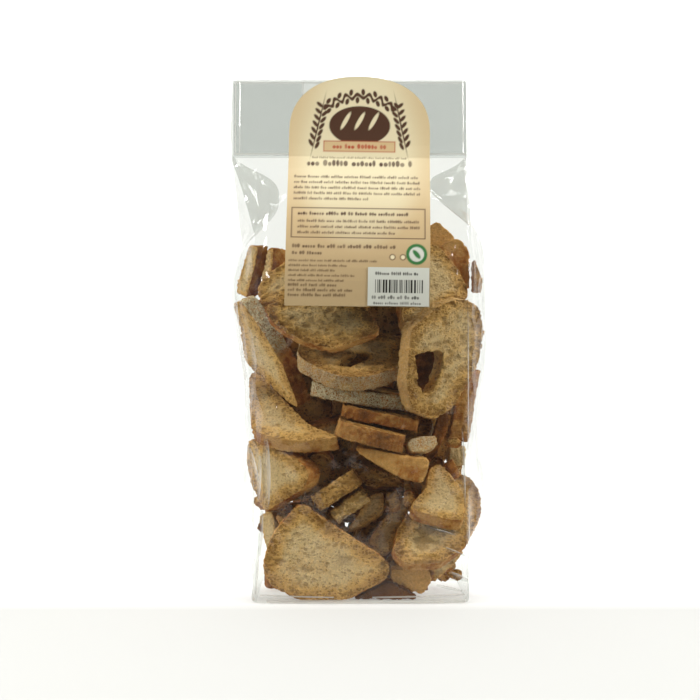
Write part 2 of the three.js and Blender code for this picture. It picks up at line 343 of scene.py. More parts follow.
# ---- Materials ----
def rusk_material(colours):
    """Twice-baked wheat bread: dry, open and matt. The crumb is cream and browner where it toasted, and
    is darkened in its pores as painted shade. The bread is lightened and darkened with its grain as
    painted highlights and shade. The crust is a thin glossless brown skin with flour left on it."""
    material, tree = new_material("twice_baked_bread")
    place = node(tree, "ShaderNodeTexCoord")
    crust, pore, toast, bake, flour, opened, rim, along, through = (
        (node(tree, "ShaderNodeAttribute", attribute_name=name), "Fac")
        for name in ("crust", "pore", "toast", "bake", "flour", "open", "rim", "along", "through"))

    # Each 3.6 mm and 1.5 mm cell of the crumb holds one pore of its own size, longer than it is
    # tall and bent out of round by up to 2 mm. The more open the crumb, the wider its pores.
    bent = node(tree, "ShaderNodeTexNoise", {"Vector": (place, "Object"), "Scale": 1 / (2.5 * MM)})
    bent = node(tree, "ShaderNodeVectorMath", {0: (bent, "Color"), 1: (2 * MM, 2 * MM, 2 * MM),
                                               2: (place, "Object")}, operation="MULTIPLY_ADD")
    longer = node(tree, "ShaderNodeVectorMath", {0: bent, 1: (0.78, 1.0, 1.1)}, operation="MULTIPLY")
    fine_pores = 0.0
    for size, least, spread, share, depth in ((3.6, -0.16, 0.52, 0.2, 1.0), (1.5, -0.02, 0.45, 0.26, 0.85)):
        cells = node(tree, "ShaderNodeTexVoronoi", {"Vector": longer, "Scale": 1 / (size * MM)})
        own = node(tree, "ShaderNodeSeparateColor", {"Color": (cells, "Color")})
        radius = node(tree, "ShaderNodeMath", {0: (own, "Red"), 1: spread, 2: least},
                      operation="MULTIPLY_ADD")
        radius = node(tree, "ShaderNodeMath", {0: opened, 1: share, 2: radius},
                      operation="MULTIPLY_ADD")
        within = node(tree, "ShaderNodeMath", {0: radius, 1: (cells, "Distance")}, operation="SUBTRACT")
        within = node(tree, "ShaderNodeMath", {0: within, 1: 7.0}, operation="MULTIPLY", use_clamp=True)
        within = node(tree, "ShaderNodeMath", {0: within, 1: depth}, operation="MULTIPLY")
        fine_pores = node(tree, "ShaderNodeMath", {0: fine_pores, 1: within}, operation="MAXIMUM")
    # Open crumb also tears into fissures, 2.4 mm apart and five times as long.
    layers = node(tree, "ShaderNodeVectorMath", {0: bent, 1: (0.2, 0.3, 1.0)}, operation="MULTIPLY")
    torn = node(tree, "ShaderNodeTexNoise", {"Vector": layers, "Scale": 1 / (2.4 * MM), "Detail": 1.0,
                                             "Roughness": 0.5})
    torn = node(tree, "ShaderNodeMath", {0: 0.44, 1: (torn, "Fac")}, operation="SUBTRACT")
    torn = node(tree, "ShaderNodeMath", {0: torn, 1: 9.0}, operation="MULTIPLY", use_clamp=True)
    tearing = node(tree, "ShaderNodeMath", {0: opened, 1: 1.6, 2: -0.6}, operation="MULTIPLY_ADD",
                   use_clamp=True)
    torn = node(tree, "ShaderNodeMath", {0: torn, 1: tearing}, operation="MULTIPLY")
    torn = node(tree, "ShaderNodeMath", {0: torn, 1: 0.8}, operation="MULTIPLY")
    fine_pores = node(tree, "ShaderNodeMath", {0: fine_pores, 1: torn}, operation="MAXIMUM")
    not_crust = node(tree, "ShaderNodeMath", {0: crust, 1: -0.7, 2: 1.0}, operation="MULTIPLY_ADD")
    fine_pores = node(tree, "ShaderNodeMath", {0: fine_pores, 1: not_crust}, operation="MULTIPLY")

    # Browning drifts over 16 mm and in patches of 5 mm, the crumb's grain is 1.3 mm and flour
    # clings in grains of 1 mm. The grain also paints highlights and shade, below. Each cloud is
    # spread about zero, the flour's far enough to clump.
    clouds = []
    for size, detail, roughness, spread, shift in ((16, 2.0, 0.5, 1.0, -0.5), (5, 3.0, 0.6, 0.8, -0.4),
                                                   (1.3, 4.0, 0.8, 1.0, -0.5), (1.0, 2.0, 0.8, 6.5, -3.1)):
        cloud = node(tree, "ShaderNodeTexNoise", {"Vector": (place, "Object"), "Scale": 1 / (size * MM),
                                                  "Detail": detail, "Roughness": roughness})
        clouds.append(node(tree, "ShaderNodeMath", {0: (cloud, "Fac"), 1: spread, 2: shift},
                           operation="MULTIPLY_ADD"))
    drift, patch, grain, dusting = clouds
    # The crust is drawn out in streaks 1.4 mm wide and 9 mm long, from one face to the other.
    on_side = node(tree, "ShaderNodeCombineXYZ", {
        "X": node(tree, "ShaderNodeMath", {0: along, 1: 1 / 1.4}, operation="MULTIPLY"),
        "Y": node(tree, "ShaderNodeMath", {0: through, 1: 1 / 9.0}, operation="MULTIPLY")})
    streak = node(tree, "ShaderNodeTexNoise", {"Vector": on_side, "Scale": 1.0, "Detail": 2.0})
    streak = node(tree, "ShaderNodeMath", {0: (streak, "Fac"), 1: 1.0, 2: -0.5}, operation="MULTIPLY_ADD")

    # How far the crumb is toasted, and how dark the crust is baked.
    toasted = toast
    for cloud, weight in ((drift, 1.0), (patch, 0.7), (grain, 0.6)):
        toasted = node(tree, "ShaderNodeMath", {0: cloud, 1: weight, 2: toasted},
                       operation="MULTIPLY_ADD")
    baked = bake
    for cloud, weight in ((drift, 2.2), (patch, 1.8), (streak, 0.35), (grain, 0.9)):
        baked = node(tree, "ShaderNodeMath", {0: cloud, 1: weight, 2: baked}, operation="MULTIPLY_ADD")
    baked.use_clamp = True

    # The crumb turns golden, then brown, and has a rim of its own colour. Its pores are painted
    # darker, as painted shade, the more so where it toasted.
    golden = node(tree, "ShaderNodeMath", {0: toasted, 1: 2.0}, operation="MULTIPLY", use_clamp=True)
    browned = node(tree, "ShaderNodeMath", {0: toasted, 1: 1.8, 2: -1.0}, operation="MULTIPLY_ADD",
                   use_clamp=True)
    browned = node(tree, "ShaderNodeMath", {0: browned, 1: 0.8}, operation="MULTIPLY")
    at_rim = node(tree, "ShaderNodeMath", {0: rim, 1: 0.65}, operation="MULTIPLY")
    deeper = node(tree, "ShaderNodeMath", {0: toasted, 1: 0.42, 2: 0.32}, operation="MULTIPLY_ADD",
                  use_clamp=True)
    fine = node(tree, "ShaderNodeMath", {0: fine_pores, 1: deeper}, operation="MULTIPLY")
    large = node(tree, "ShaderNodeMath", {0: pore, 1: 0.4}, operation="MULTIPLY")
    any_pore = node(tree, "ShaderNodeMath", {0: fine, 1: large}, operation="MAXIMUM")
    crumb = linear(colours.crumb)
    for share, shade in ((golden, colours.golden_crumb), (browned, colours.toasted_crumb),
                         (at_rim, colours.rim), (any_pore, colours.pore)):
        crumb = (node(tree, "ShaderNodeMix", {0: share, 6: crumb, 7: linear(shade)}, data_type="RGBA"), 2)

    # The crust goes from golden to orange and then to dark brown, with flour in clumps.
    orange = node(tree, "ShaderNodeMath", {0: baked, 1: 2.0}, operation="MULTIPLY", use_clamp=True)
    dark = node(tree, "ShaderNodeMath", {0: baked, 1: 2.0, 2: -1.0}, operation="MULTIPLY_ADD",
                use_clamp=True)
    dusting = node(tree, "ShaderNodeMath", {0: patch, 1: 2.2, 2: dusting}, operation="MULTIPLY_ADD")
    dusting = node(tree, "ShaderNodeMath", {0: dusting, 1: 0.6}, operation="ADD", use_clamp=True)
    dusting = node(tree, "ShaderNodeMath", {0: dusting, 1: flour}, operation="MULTIPLY")
    crusty = linear(colours.golden_crust)
    for share, shade in ((orange, colours.orange_crust), (dark, colours.dark_crust),
                         (dusting, colours.flour)):
        crusty = (node(tree, "ShaderNodeMix", {0: share, 6: crusty, 7: linear(shade)}, data_type="RGBA"), 2)
    colour = (node(tree, "ShaderNodeMix", {0: crust, 6: crumb, 7: crusty}, data_type="RGBA"), 2)
    # The grain lightens and darkens the colour: painted highlights on ridges, painted shade between.
    shade = node(tree, "ShaderNodeMath", {0: grain, 1: 1.4, 2: 1.0}, operation="MULTIPLY_ADD")
    grey = node(tree, "ShaderNodeCombineColor", {"Red": shade, "Green": shade, "Blue": shade})
    colour = node(tree, "ShaderNodeMix", {0: 1.0, 6: colour, 7: grey}, data_type="RGBA",
                  blend_type="MULTIPLY")

    # Pores are up to 0.6 mm deep, the grain between them stands about 0.3 mm proud, and the
    # crust's streaks half of that.
    height = node(tree, "ShaderNodeMath", {0: grain, 1: 0.7}, operation="MULTIPLY")
    height = node(tree, "ShaderNodeMath", {0: fine_pores, 1: -0.7, 2: height}, operation="MULTIPLY_ADD")
    streaked = node(tree, "ShaderNodeMath", {0: streak, 1: crust}, operation="MULTIPLY")
    height = node(tree, "ShaderNodeMath", {0: streaked, 1: 0.4, 2: height}, operation="MULTIPLY_ADD")
    bump = node(tree, "ShaderNodeBump", {"Height": height, "Strength": 1.0, "Distance": 0.8 * MM})
    skin = node(tree, "ShaderNodeBsdfPrincipled", {
        "Base Color": (colour, 2), "Roughness": 0.85, "IOR": 1.45, "Specular IOR Level": 0.2,
        "Normal": bump})
    node(tree, "ShaderNodeOutputMaterial", {"Surface": skin})
    return material


def film_material(name, tint, crumple=1.0, milk_and_sheen=0.0, haze=0.03):
    """Clear cast polypropylene film: it lets most light through, greys a little with every layer,
    and mirrors the lamps sharply wherever it is pulled smooth or creased."""
    material, tree = new_material(name)
    place = node(tree, "ShaderNodeTexCoord")
    # Crumpled film breaks into flat facets, about 11 mm across and 24 mm tall, between straight
    # creases, with fainter ones of 4.5 mm on them. A shallow 30 mm buckle bends them all.
    taller = node(tree, "ShaderNodeVectorMath", {0: (place, "Object"), 1: (1.0, 1.0, 0.45)},
                  operation="MULTIPLY")
    facets = node(tree, "ShaderNodeTexVoronoi", {"Vector": taller, "Scale": 1 / (11 * MM)})
    small = node(tree, "ShaderNodeTexVoronoi", {"Vector": taller, "Scale": 1 / (4.5 * MM)})
    buckle = node(tree, "ShaderNodeTexNoise", {"Vector": (place, "Object"), "Scale": 1 / (30 * MM),
                                               "Detail": 1.0})
    height = node(tree, "ShaderNodeMath", {0: (small, "Distance"), 1: 0.09, 2: (facets, "Distance")},
                  operation="MULTIPLY_ADD")
    height = node(tree, "ShaderNodeMath", {0: (buckle, "Fac"), 1: 2.0, 2: height},
                  operation="MULTIPLY_ADD")
    bump = node(tree, "ShaderNodeBump", {"Height": height, "Strength": crumple, "Distance": 2.2 * MM})
    clear = node(tree, "ShaderNodeBsdfTransparent", {"Color": linear(tint)})
    gloss = node(tree, "ShaderNodeBsdfGlossy", {"Color": (1, 1, 1, 1), "Roughness": 0.07, "Normal": bump})
    edge = node(tree, "ShaderNodeLayerWeight", {"Blend": 0.5, "Normal": bump})
    steep = node(tree, "ShaderNodeMath", {0: (edge, "Facing"), 1: 4.0}, operation="POWER")
    share = node(tree, "ShaderNodeMath", {0: steep, 1: 0.5, 2: haze}, operation="MULTIPLY_ADD")
    # Stretched and folded film turns a little milky. On the folds and seams the milky white is also
    # painted highlight, standing in for the lamps' reflections.
    milky_sheen = node(tree, "ShaderNodeBsdfDiffuse", {"Color": linear("#F2EFE8")})
    through = node(tree, "ShaderNodeBsdfTranslucent", {"Color": linear("#F2EFE8")})
    milky_sheen = node(tree, "ShaderNodeMixShader", {0: 0.35, 1: milky_sheen, 2: through})
    fold = node(tree, "ShaderNodeAttribute", attribute_name="fold")
    amount = node(tree, "ShaderNodeMath", {0: (fold, "Fac"), 1: milk_and_sheen, 2: 0.012},
                  operation="MULTIPLY_ADD")
    clear = node(tree, "ShaderNodeMixShader", {0: amount, 1: clear, 2: milky_sheen})
    both = node(tree, "ShaderNodeMixShader", {0: share, 1: clear, 2: gloss})
    node(tree, "ShaderNodeOutputMaterial", {"Surface": both})
    return material


def paper_material(name, roughness, grain=0.06):
    """Coated label paper with its print: smooth, a little satin, with a faint fibre grain."""
    material, tree = new_material(name)
    place = node(tree, "ShaderNodeTexCoord")
    print_colour = node(tree, "ShaderNodeAttribute", attribute_name="print")
    # Paper fibres are about 0.6 mm long, so they only just show.
    fibre = node(tree, "ShaderNodeTexNoise", {"Vector": (place, "Object"), "Scale": 1 / (0.6 * MM),
                                              "Detail": 2.0})
    shade = node(tree, "ShaderNodeMapRange", {"Value": (fibre, "Fac"), "To Min": 1 - grain,
                                              "To Max": 1.0})
    grey = node(tree, "ShaderNodeCombineColor", {"Red": shade, "Green": shade, "Blue": shade})
    mixed = node(tree, "ShaderNodeMix", {0: 1.0, 6: (print_colour, "Color"), 7: grey},
                 data_type="RGBA", blend_type="MULTIPLY")
    bump = node(tree, "ShaderNodeBump", {"Height": (fibre, "Fac"), "Strength": 0.25,
                                         "Distance": 0.05 * MM})
    sheet = node(tree, "ShaderNodeBsdfPrincipled", {
        "Base Color": (mixed, 2), "Roughness": roughness, "IOR": 1.5, "Specular IOR Level": 0.35,
        "Normal": bump})
    node(tree, "ShaderNodeOutputMaterial", {"Surface": sheet})
    return material


# ---- Bread ----
def rounded(points, radius, count):
    """The closed outline through points with its corners rounded, as count even steps."""
    path = []
    for i, corner in enumerate(points):
        corner = Vector(corner)
        before, after = Vector(points[i - 1]) - corner, Vector(points[(i + 1) % len(points)]) - corner
        start = corner + before * min(radius / max(before.length, 1e-6), 0.5)
        end = corner + after * min(radius / max(after.length, 1e-6), 0.5)
        for t in (0, 0.25, 0.5, 0.75, 1):
            path.append((1 - t) ** 2 * start + 2 * t * (1 - t) * corner + t * t * end)
    path = np.array([(p.x, p.y) for p in path])
    closed = np.vstack([path, path[:1]])
    lengths = np.concatenate([[0], np.cumsum(np.hypot(*np.diff(closed, axis=0).T))])
    at = np.linspace(0, lengths[-1], count, endpoint=False)
    return np.stack([np.interp(at, lengths, closed[:, k]) for k in (0, 1)], axis=1)


def nearest_on_outline(places, outline):
    """How far each place is from a closed outline, and how far round it the nearest point is."""
    start, end = outline, np.roll(outline, -1, axis=0)
    best = np.full(len(places), np.inf)
    along = np.zeros(len(places))
    run = 0.0
    for a, d in zip(start, end - start):
        length = max(np.hypot(*d), 1e-9)
        t = np.clip(((places - a) @ d) / length ** 2, 0, 1)
        away = np.hypot(*(places - a - t[:, None] * d).T)
        along = np.where(away < best, run + t * length, along)
        best = np.minimum(best, away)
        run += length
    return best, along


def placing(bread):
    """The matrix from a piece's own plane, in millimetres, to the row's frame, in metres."""
    normal = bread.across.cross(bread.up)
    turn = Matrix((bread.across, bread.up, normal)).transposed().to_4x4()
    return Matrix.Translation(bread.origin * MM) @ turn @ Matrix.Scale(MM, 4)


def slab(name, outline, low, high):
    """A flat piece of the outline's shape, between two heights of its own plane."""
    bpy.ops.object.select_all(action="DESELECT")
    bpy.ops.mesh.primitive_circle_add(vertices=len(outline), radius=10, fill_type="NGON")
    obj = added(name)
    move_vertices(obj, np.column_stack([outline, np.full(len(outline), high)]))
    bpy.ops.object.mode_set(mode="EDIT")
    bpy.ops.mesh.select_all(action="SELECT")
    bpy.ops.mesh.extrude_region_move(TRANSFORM_OT_translate={"value": (0, 0, low - high)})
    bpy.ops.mesh.select_all(action="SELECT")
    bpy.ops.mesh.normals_make_consistent(inside=False)
    bpy.ops.object.mode_set(mode="OBJECT")
    return obj


OUTLINE_STEPS, HOLE_STEPS, HOLE_CORNER = 64, 40, 3.5
PLUG_REACH = 5  # how far the plug that cuts a hole stands out of both faces
CRUST_WIDTH = 3.2  # crust is no further from the outline than this
TOAST_WIDTH = 14  # the faces toast deeper this far in, or less on a narrow piece
PORE_DEPTH = 2.2
# The crumb's larger pores: the size of their cells, the share of it that they fill where the
# crumb is close, and what open crumb adds to that.
LARGE_PORES = ((6.0, 0.16, 0.28), (3.0, 0.18, 0.3))


def bake_slice(bread, material, voxel):
    """Cuts the piece, gives it its crumb and crust relief and its marks, and puts it in place."""
    outline = rounded(bread.outline, bread.corner, OUTLINE_STEPS)
    obj = slab(bread.name, outline, -bread.thickness, 0)
    rims = []
    for hole in bread.holes:
        rim = rounded(hole, HOLE_CORNER, HOLE_STEPS)
        rims.append(rim)
        plug = slab("plug", rim, -bread.thickness - PLUG_REACH, PLUG_REACH)
        finish_with(obj, "BOOLEAN", object=plug, operation="DIFFERENCE", solver="EXACT")
        bpy.data.objects.remove(plug)
    finish_with(obj, "REMESH", mode="VOXEL", voxel_size=voxel, use_smooth_shade=True)

    places = vertices_of(obj)
    normals = vertices_of(obj, "normal")
    # Each piece reads the noise at a place of its own, so no two are alike.
    offset = Vector((bread.origin.x * 1.7, bread.origin.z * 1.3, bread.origin.y * 2.1 + 40))
    from_edge, along = nearest_on_outline(places[:, :2], outline)
    broad = ease(0.5, 0.8, np.abs(normals[:, 2]))
    drift = np.empty(len(places))
    crackle = np.empty(len(places))
    pore = np.zeros(len(places))
    # The faces swell and sink over 14 mm, and crackle over 2.7 mm and 1.4 mm.
    for i, place in enumerate(places):
        at = Vector(place) + offset
        drift[i] = noise.noise(at / 14)
        crackle[i] = 0.7 * noise.noise(at / 2.7) + noise.noise(at / 1.4)
        # Crumb pores are longer than they are wide, and lie along the slice.
        at = Vector((at.x * 0.62, at.y, at.z * 0.8)) + noise.noise_vector(at / 4) * 0.9
        for size, least, opening in LARGE_PORES:
            distances, points = noise.voronoi(at / size)
            radius = (least + opening * bread.pores) * (0.25 + abs(noise.noise(points[0] * 5.3)) * 2.4)
            if distances[0] < radius:
                pore[i] = max(pore[i], size * math.sqrt(radius ** 2 - distances[0] ** 2))
    # The crust wraps the side. Both faces have a golden rim, and toast deeper towards it.
    crust = (1 - broad) * (from_edge < CRUST_WIDTH) * (1 - bread.cut)
    crust = np.maximum(crust, bread.skin * broad)
    hollow = np.minimum(pore, PORE_DEPTH) * (1 - crust) * (0.25 + 0.35 * bread.pores)
    ragged = 1 - ease(0, 4.5, from_edge)
    swell = 0.4 * drift + crackle * (0.22 + (0.5 + 0.25 * bread.cut) * ragged)
    move_vertices(obj, places + normals * (swell - hollow)[:, None])
    band = min(TOAST_WIDTH, 0.3 * np.ptp(outline, axis=0).min())
    toast = bread.toast + 0.85 * (1 - ease(0.5, band, from_edge)) * (1 - 0.5 * bread.cut)
    opened = 0.7 * bread.pores + 0.55 * (1 - ease(1, 12, from_edge))
    for edge in rims:
        toast += 0.3 * (1 - ease(0, 4, nearest_on_outline(places[:, :2], edge)[0]))
    mark(obj, "crust", crust)
    mark(obj, "rim", broad * (1 - ease(0.3, 2.0, from_edge)))
    mark(obj, "along", along)
    mark(obj, "through", places[:, 2])
    # The pore mark also tells the material where to paint shade into the pores.
    mark(obj, "pore", ease(0.3, 1.5, hollow))
    mark(obj, "toast", toast)
    mark(obj, "open", opened)
    mark(obj, "bake", np.full(len(places), bread.bake))
    mark(obj, "flour", bread.flour * ease(-4, 4, places[:, 1] - bread.floury_above))
    obj.data.transform(placing(bread))
    alone(obj)
    bpy.ops.object.shade_smooth()
    dress(obj, material)
    return obj


def rough_solid(bread, share=1.0):
    """A coarse copy of the piece for telling what touches: its corners and its faces. It is
    0.3 mm thicker on each side. share shrinks its outline."""
    count = 20
    outline = rounded(bread.outline, bread.corner, count)
    outline = outline.mean(axis=0) * (1 - share) + outline * share
    matrix = placing(bread)
    corners = [matrix @ Vector((x, y, h)) for h in (0.3, -bread.thickness - 0.3) for x, y in outline]
    sides = [(i, (i + 1) % count, (i + 1) % count + count, i + count) for i in range(count)]
    caps = [tuple(range(count)), tuple(range(2 * count - 1, count - 1, -1))]
    return corners, sides + caps


class Heap:
    """The pieces placed so far, and the bag they have to stay inside."""

    def __init__(self, bag):
        bag.data.calc_loop_triangles()
        corners = [v.co.copy() for v in bag.data.vertices]
        self.wall = BVHTree.FromPolygons(corners, [t.vertices[:] for t in bag.data.loop_triangles])
        self.pieces = []

    def add(self, bread):
        corners, faces = rough_solid(bread)
        middle = sum(corners, Vector()) / len(corners)
        reach = max((c - middle).length for c in corners)
        self.pieces.append((bread, BVHTree.FromPolygons(corners, faces), middle, reach))

    def inside(self, corners, margin):
        for corner in corners:
            near, normal, _, _ = self.wall.find_nearest(corner)
            if (corner - near).dot(normal) > -margin:
                return False
        return True

    def touching(self, corners, faces):
        middle = sum(corners, Vector()) / len(corners)
        reach = max((c - middle).length for c in corners)
        tree = None
        found = []
        for bread, other, centre, other_reach in self.pieces:
            if (centre - middle).length > reach + other_reach:
                continue
            tree = tree or BVHTree.FromPolygons(corners, faces)
            if tree.overlap(other):
                found.append(bread)
        return found


def loaf_outline(kind, width, height):
    """The outline of a half loaf's slice, or of a piece of one."""
    if kind == "half":
        return [(-0.5 * width, -0.5 * height), (-0.5 * width, 0.1 * height), (-0.3 * width, 0.42 * height),
                (0, 0.5 * height), (0.3 * width, 0.42 * height), (0.5 * width, 0.1 * height),
                (0.5 * width, -0.5 * height)]
    if kind == "oval":
        return [(0.5 * width * math.cos(a), 0.5 * height * math.sin(a))
                for a in (math.radians(d) for d in range(0, 360, 45))]
    return [(-0.5 * width, -0.5 * height), (-0.45 * width, 0.3 * height), (-0.1 * width, 0.5 * height),
            (0.5 * width, -0.2 * height), (0.5 * width, -0.5 * height)]


def random_bread(rng, number, size, lies):
    """A slice, or a piece of one, that lies some random way."""
    kind = rng.choice(("half", "half", "oval", "quarter"))
    normal = Vector([rng.gauss(0, share) for share in lies]).normalized()
    across = normal.cross(Vector((rng.gauss(0, 1), rng.gauss(0, 1), rng.gauss(0, 1)))).normalized()
    outline = loaf_outline(kind, size * rng.uniform(46, 72), size * rng.uniform(30, 48))
    return Bread(f"inner_{number:02d}", outline, Vector(), across, normal.cross(across),
                 rng.uniform(9, 11.5), corner=5, toast=rng.uniform(0.1, 0.6),
                 bake=rng.uniform(0.3, 0.75), flour=max(0.0, rng.uniform(-0.8, 0.9)),
                 pores=rng.uniform(0.3, 0.9), cut=rng.choice((0, 0, 0, 0.7)))


# How strongly a piece's broad faces turn to the side, to the front and upwards.
FLAT_TO_BACK, FACING_GAP = (0.16, 1, 0.16), (0.5, 1, 0.4)
WAYS_TO_LIE = ((0.35, 1, 0.35), (0.3, 0.3, 1), (1, 0.4, 0.3), (0.6, 0.9, 0.9))
# How far the pieces stay off the film: those at the back, the fill and those that close gaps.
BACK_MARGIN, FILL_MARGIN, GAP_MARGIN = 2.5 * MM, 4.5 * MM, 3 * MM
BACK_COLUMNS, BACK_ROWS = (-44, 0, 44), (24, 60, 96, 132, 168, 204)
BACK_SCATTER = 8  # how far a slice at the back stands from its column and row
BACK_REACH = (38, 12)  # the furthest back and the furthest forward that it stands
FILL_ACROSS, FILL_DEPTH = (-66, 66), (-12, 38)
SMALLEST_FILL = 0.45  # as a share of a whole piece


def stand_at_back(heap, rng, drops):
    """Stands a layer of slices against the back of the bag."""
    placed = []
    for z in BACK_ROWS:
        for x in BACK_COLUMNS:
            best = None
            for _ in range(drops):
                bread = random_bread(rng, len(placed) + 1, rng.uniform(0.8, 1.0), FLAT_TO_BACK)
                corners, faces = rough_solid(bread)
                shift = Vector((x + rng.uniform(-BACK_SCATTER, BACK_SCATTER), 0,
                                z + rng.uniform(-BACK_SCATTER, BACK_SCATTER)))
                for y in range(BACK_REACH[0], best[0] if best else BACK_REACH[1], -2):
                    shift.y = y
                    moved = [c + shift * MM for c in corners]
                    if heap.inside(moved, BACK_MARGIN) and not heap.touching(moved, faces):
                        bread.origin = shift.copy()
                        best = (y, bread)
                        break
            if best:
                heap.add(best[1])
                placed.append(best[1])
    return placed


def fill_behind(heap, settings):
    """Stands slices at the back, then drops pieces into the room that is left: of a few, the one
    that goes lowest stays. The less room there is, the smaller they get."""
    rng = random.Random(SEED)
    placed = stand_at_back(heap, rng, settings.drops // 2)
    size = 1.0
    while len(placed) < settings.inner_count and size > SMALLEST_FILL:
        best = None
        for _ in range(settings.drops):
            bread = random_bread(rng, len(placed) + 1, size, rng.choice(WAYS_TO_LIE))
            x, y = rng.uniform(*FILL_ACROSS), rng.uniform(*FILL_DEPTH)
            corners, faces = rough_solid(bread)
            low, high = min(c.z for c in corners) / MM, max(c.z for c in corners) / MM
            z = 2 - low
            while z < (best[0] if best else settings.fill_height) - high:
                moved = [c + Vector((x, y, z)) * MM for c in corners]
                if heap.inside(moved, FILL_MARGIN) and not heap.touching(moved, faces):
                    bread.origin = Vector((x, y, z))
                    best = (z + high, bread)
                    break
                z += 4
        if best:
            heap.add(best[1])
            placed.append(best[1])
        else:
            size *= 0.9
    return placed


def covers(tree, sights):
    """Which lines of sight a piece stops."""
    return [sight for sight in sights if tree.ray_cast(*sight)[0]]


SIDE_EYES = (Vector((-900, 0, 150)) * MM, Vector((900, 0, 150)) * MM)
FRONT_SIGHTS = (range(-56, 61, 2), range(15, 205, 2))  # across and up, in a plane 30 mm forward
SIDE_SIGHTS = (range(-9, 33, 3), range(9, 190, 3))  # back and up, in the bag's middle plane


def lines_of_sight():
    """Lines of sight into the bread, from in front and from both sides."""
    sights = []
    eye = CAMERA_PLACE
    for x in FRONT_SIGHTS[0]:
        for z in FRONT_SIGHTS[1]:
            sights.append((eye, (Vector((x, -30, z)) * MM - eye).normalized()))
    for eye in SIDE_EYES:
        for y in SIDE_SIGHTS[0]:
            for z in SIDE_SIGHTS[1]:
                sights.append((eye, (Vector((0, y, z)) * MM - eye).normalized()))
    return sights


def close_gaps(heap, settings, placed):
    """Adds small pieces where light shows through the heap: of a few, the one that stops the
    most lines of sight stays."""
    rng = random.Random(SEED + 5)
    sights = lines_of_sight()
    for bread, _, _, _ in heap.pieces:
        if not bread.holes:
            tree = BVHTree.FromPolygons(*rough_solid(bread, 0.95))
            stopped = {id(sight) for sight in covers(tree, sights)}
            sights = [sight for sight in sights if id(sight) not in stopped]
    tries = settings.gap_tries
    while sights and tries:
        tries -= 1
        start, way = rng.choice(sights)
        # In metres from the eye: behind the front pieces, or anywhere between the bag's sides.
        nearest = 0.897 if start is CAMERA_PLACE else 0.84
        best = None
        for _ in range(10):
            bread = random_bread(rng, len(placed) + 1, rng.uniform(0.15, 0.8), FACING_GAP)
            bread.thickness *= rng.uniform(0.4, 1)
            bread.corner, bread.toast = 2.5, 0.6
            corners, faces = rough_solid(bread)
            for _ in range(9):
                shift = start + way * rng.uniform(nearest, 0.95)
                moved = [c + shift for c in corners]
                if heap.inside(moved, GAP_MARGIN) and not heap.touching(moved, faces):
                    tree = BVHTree.FromPolygons(moved, faces)
                    stopped = covers(tree, sights)
                    if not best or len(stopped) > len(best[2]):
                        best = (bread, shift, stopped)
                    break
        if best and best[2]:
            bread, shift, stopped = best
            bread.origin = shift / MM
            heap.add(bread)
            placed.append(bread)
            sights = [sight for sight in sights if sight not in stopped]
    return placed


# ---- Film ----
HEADER_LEFT, HEADER_RIGHT, HEADER_FOOT, HEADER_TOP = -81, 69, 283, 331
CREASE_ANGLE = 38  # degrees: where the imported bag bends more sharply, the film keeps an edge
# Random creases: how many, the lowest and highest start, and how far to each side they start.
FRONT_RANDOM, BACK_RANDOM, SIDE_RANDOM = (26, 8, 235, 62), (44, 8, 240, 66), (34, 6, 235, 36)

# Creases of the film: start and end in millimetres across and up on the front, and how proud.
FRONT_CREASES = [
    ((-81, 283), (-73, 256), 1.2), ((-73, 256), (-63, 228), 1.0), ((-66, 266), (-50, 277), 0.8),
    ((50, 254), (73, 256), 1.0), ((66, 283), (68, 180), 0.8), ((67, 190), (66, 70), 0.8),
    ((66, 78), (67, 4), 1.0), ((-58, 100), (-60, 55), 1.0), ((-60, 60), (-67, 6), 0.9),
    ((-38, 128), (-60, 112), 0.8), ((-30, 120), (-2, 92), 0.9), ((38, 78), (20, 30), 0.9),
    ((64, 66), (72, 40), 0.8), ((45, 50), (66, 62), 0.8), ((24, 10), (52, 3), 0.8),
    ((-66, 30), (-48, 8), 0.9),
]


def crease_relief(places, creases, width):
    """How far each place is lifted by creases: straight ridges with flat, tapering flanks."""
    lift = np.zeros(len(places))
    for start, end, height in creases:
        start, end = np.array(start, float), np.array(end, float)
        along = end - start
        t = ((places - start) @ along) / (along @ along)
        near = start + np.clip(t, 0, 1)[:, None] * along
        away = np.hypot(*(places - near).T)
        taper = np.sin(np.pi * np.clip(t, 0.02, 0.98)) ** 0.6
        lift = np.maximum(lift, height * taper * np.clip(1 - away / width, 0, 1))
    return lift


def random_creases(rng, count, low, high, reach):
    """Random creases of a filled bag, mostly upright and 15 to 45 mm long."""
    made = []
    for _ in range(count):
        start = np.array([rng.uniform(-reach, reach), rng.uniform(low, high)])
        angle = rng.gauss(math.pi / 2, 0.7)
        length = rng.uniform(15, 45)
        end = start + length * np.array([math.cos(angle), math.sin(angle)])
        made.append((start, end, rng.uniform(0.35, 0.9)))
    return made


def film_from_solid(name, source):
    """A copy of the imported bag's skin, fine enough to crease."""
    obj = source.copy()
    obj.data = source.data.copy()
    obj.parent = None
    obj.name = name
    obj.hide_render = obj.hide_viewport = False
    for key in list(obj.keys()):
        del obj[key]
    bpy.context.scene.collection.objects.link(obj)
    alone(obj)
    bpy.ops.object.mode_set(mode="EDIT")
    bpy.ops.mesh.select_all(action="SELECT")
    bpy.ops.mesh.remove_doubles(threshold=0.01 * MM)
    bpy.ops.mesh.tris_convert_to_quads(face_threshold=math.radians(50), shape_threshold=math.radians(60))
    bpy.ops.mesh.select_all(action="DESELECT")
    bpy.ops.mesh.select_mode(type="EDGE")
    bpy.ops.mesh.edges_select_sharp(sharpness=math.radians(CREASE_ANGLE))
    bpy.ops.transform.edge_crease(value=0.9)
    bpy.ops.mesh.select_mode(type="VERT")
    bpy.ops.object.mode_set(mode="OBJECT")
    finish_with(obj, "SUBSURF", levels=2, render_levels=2)
    return obj


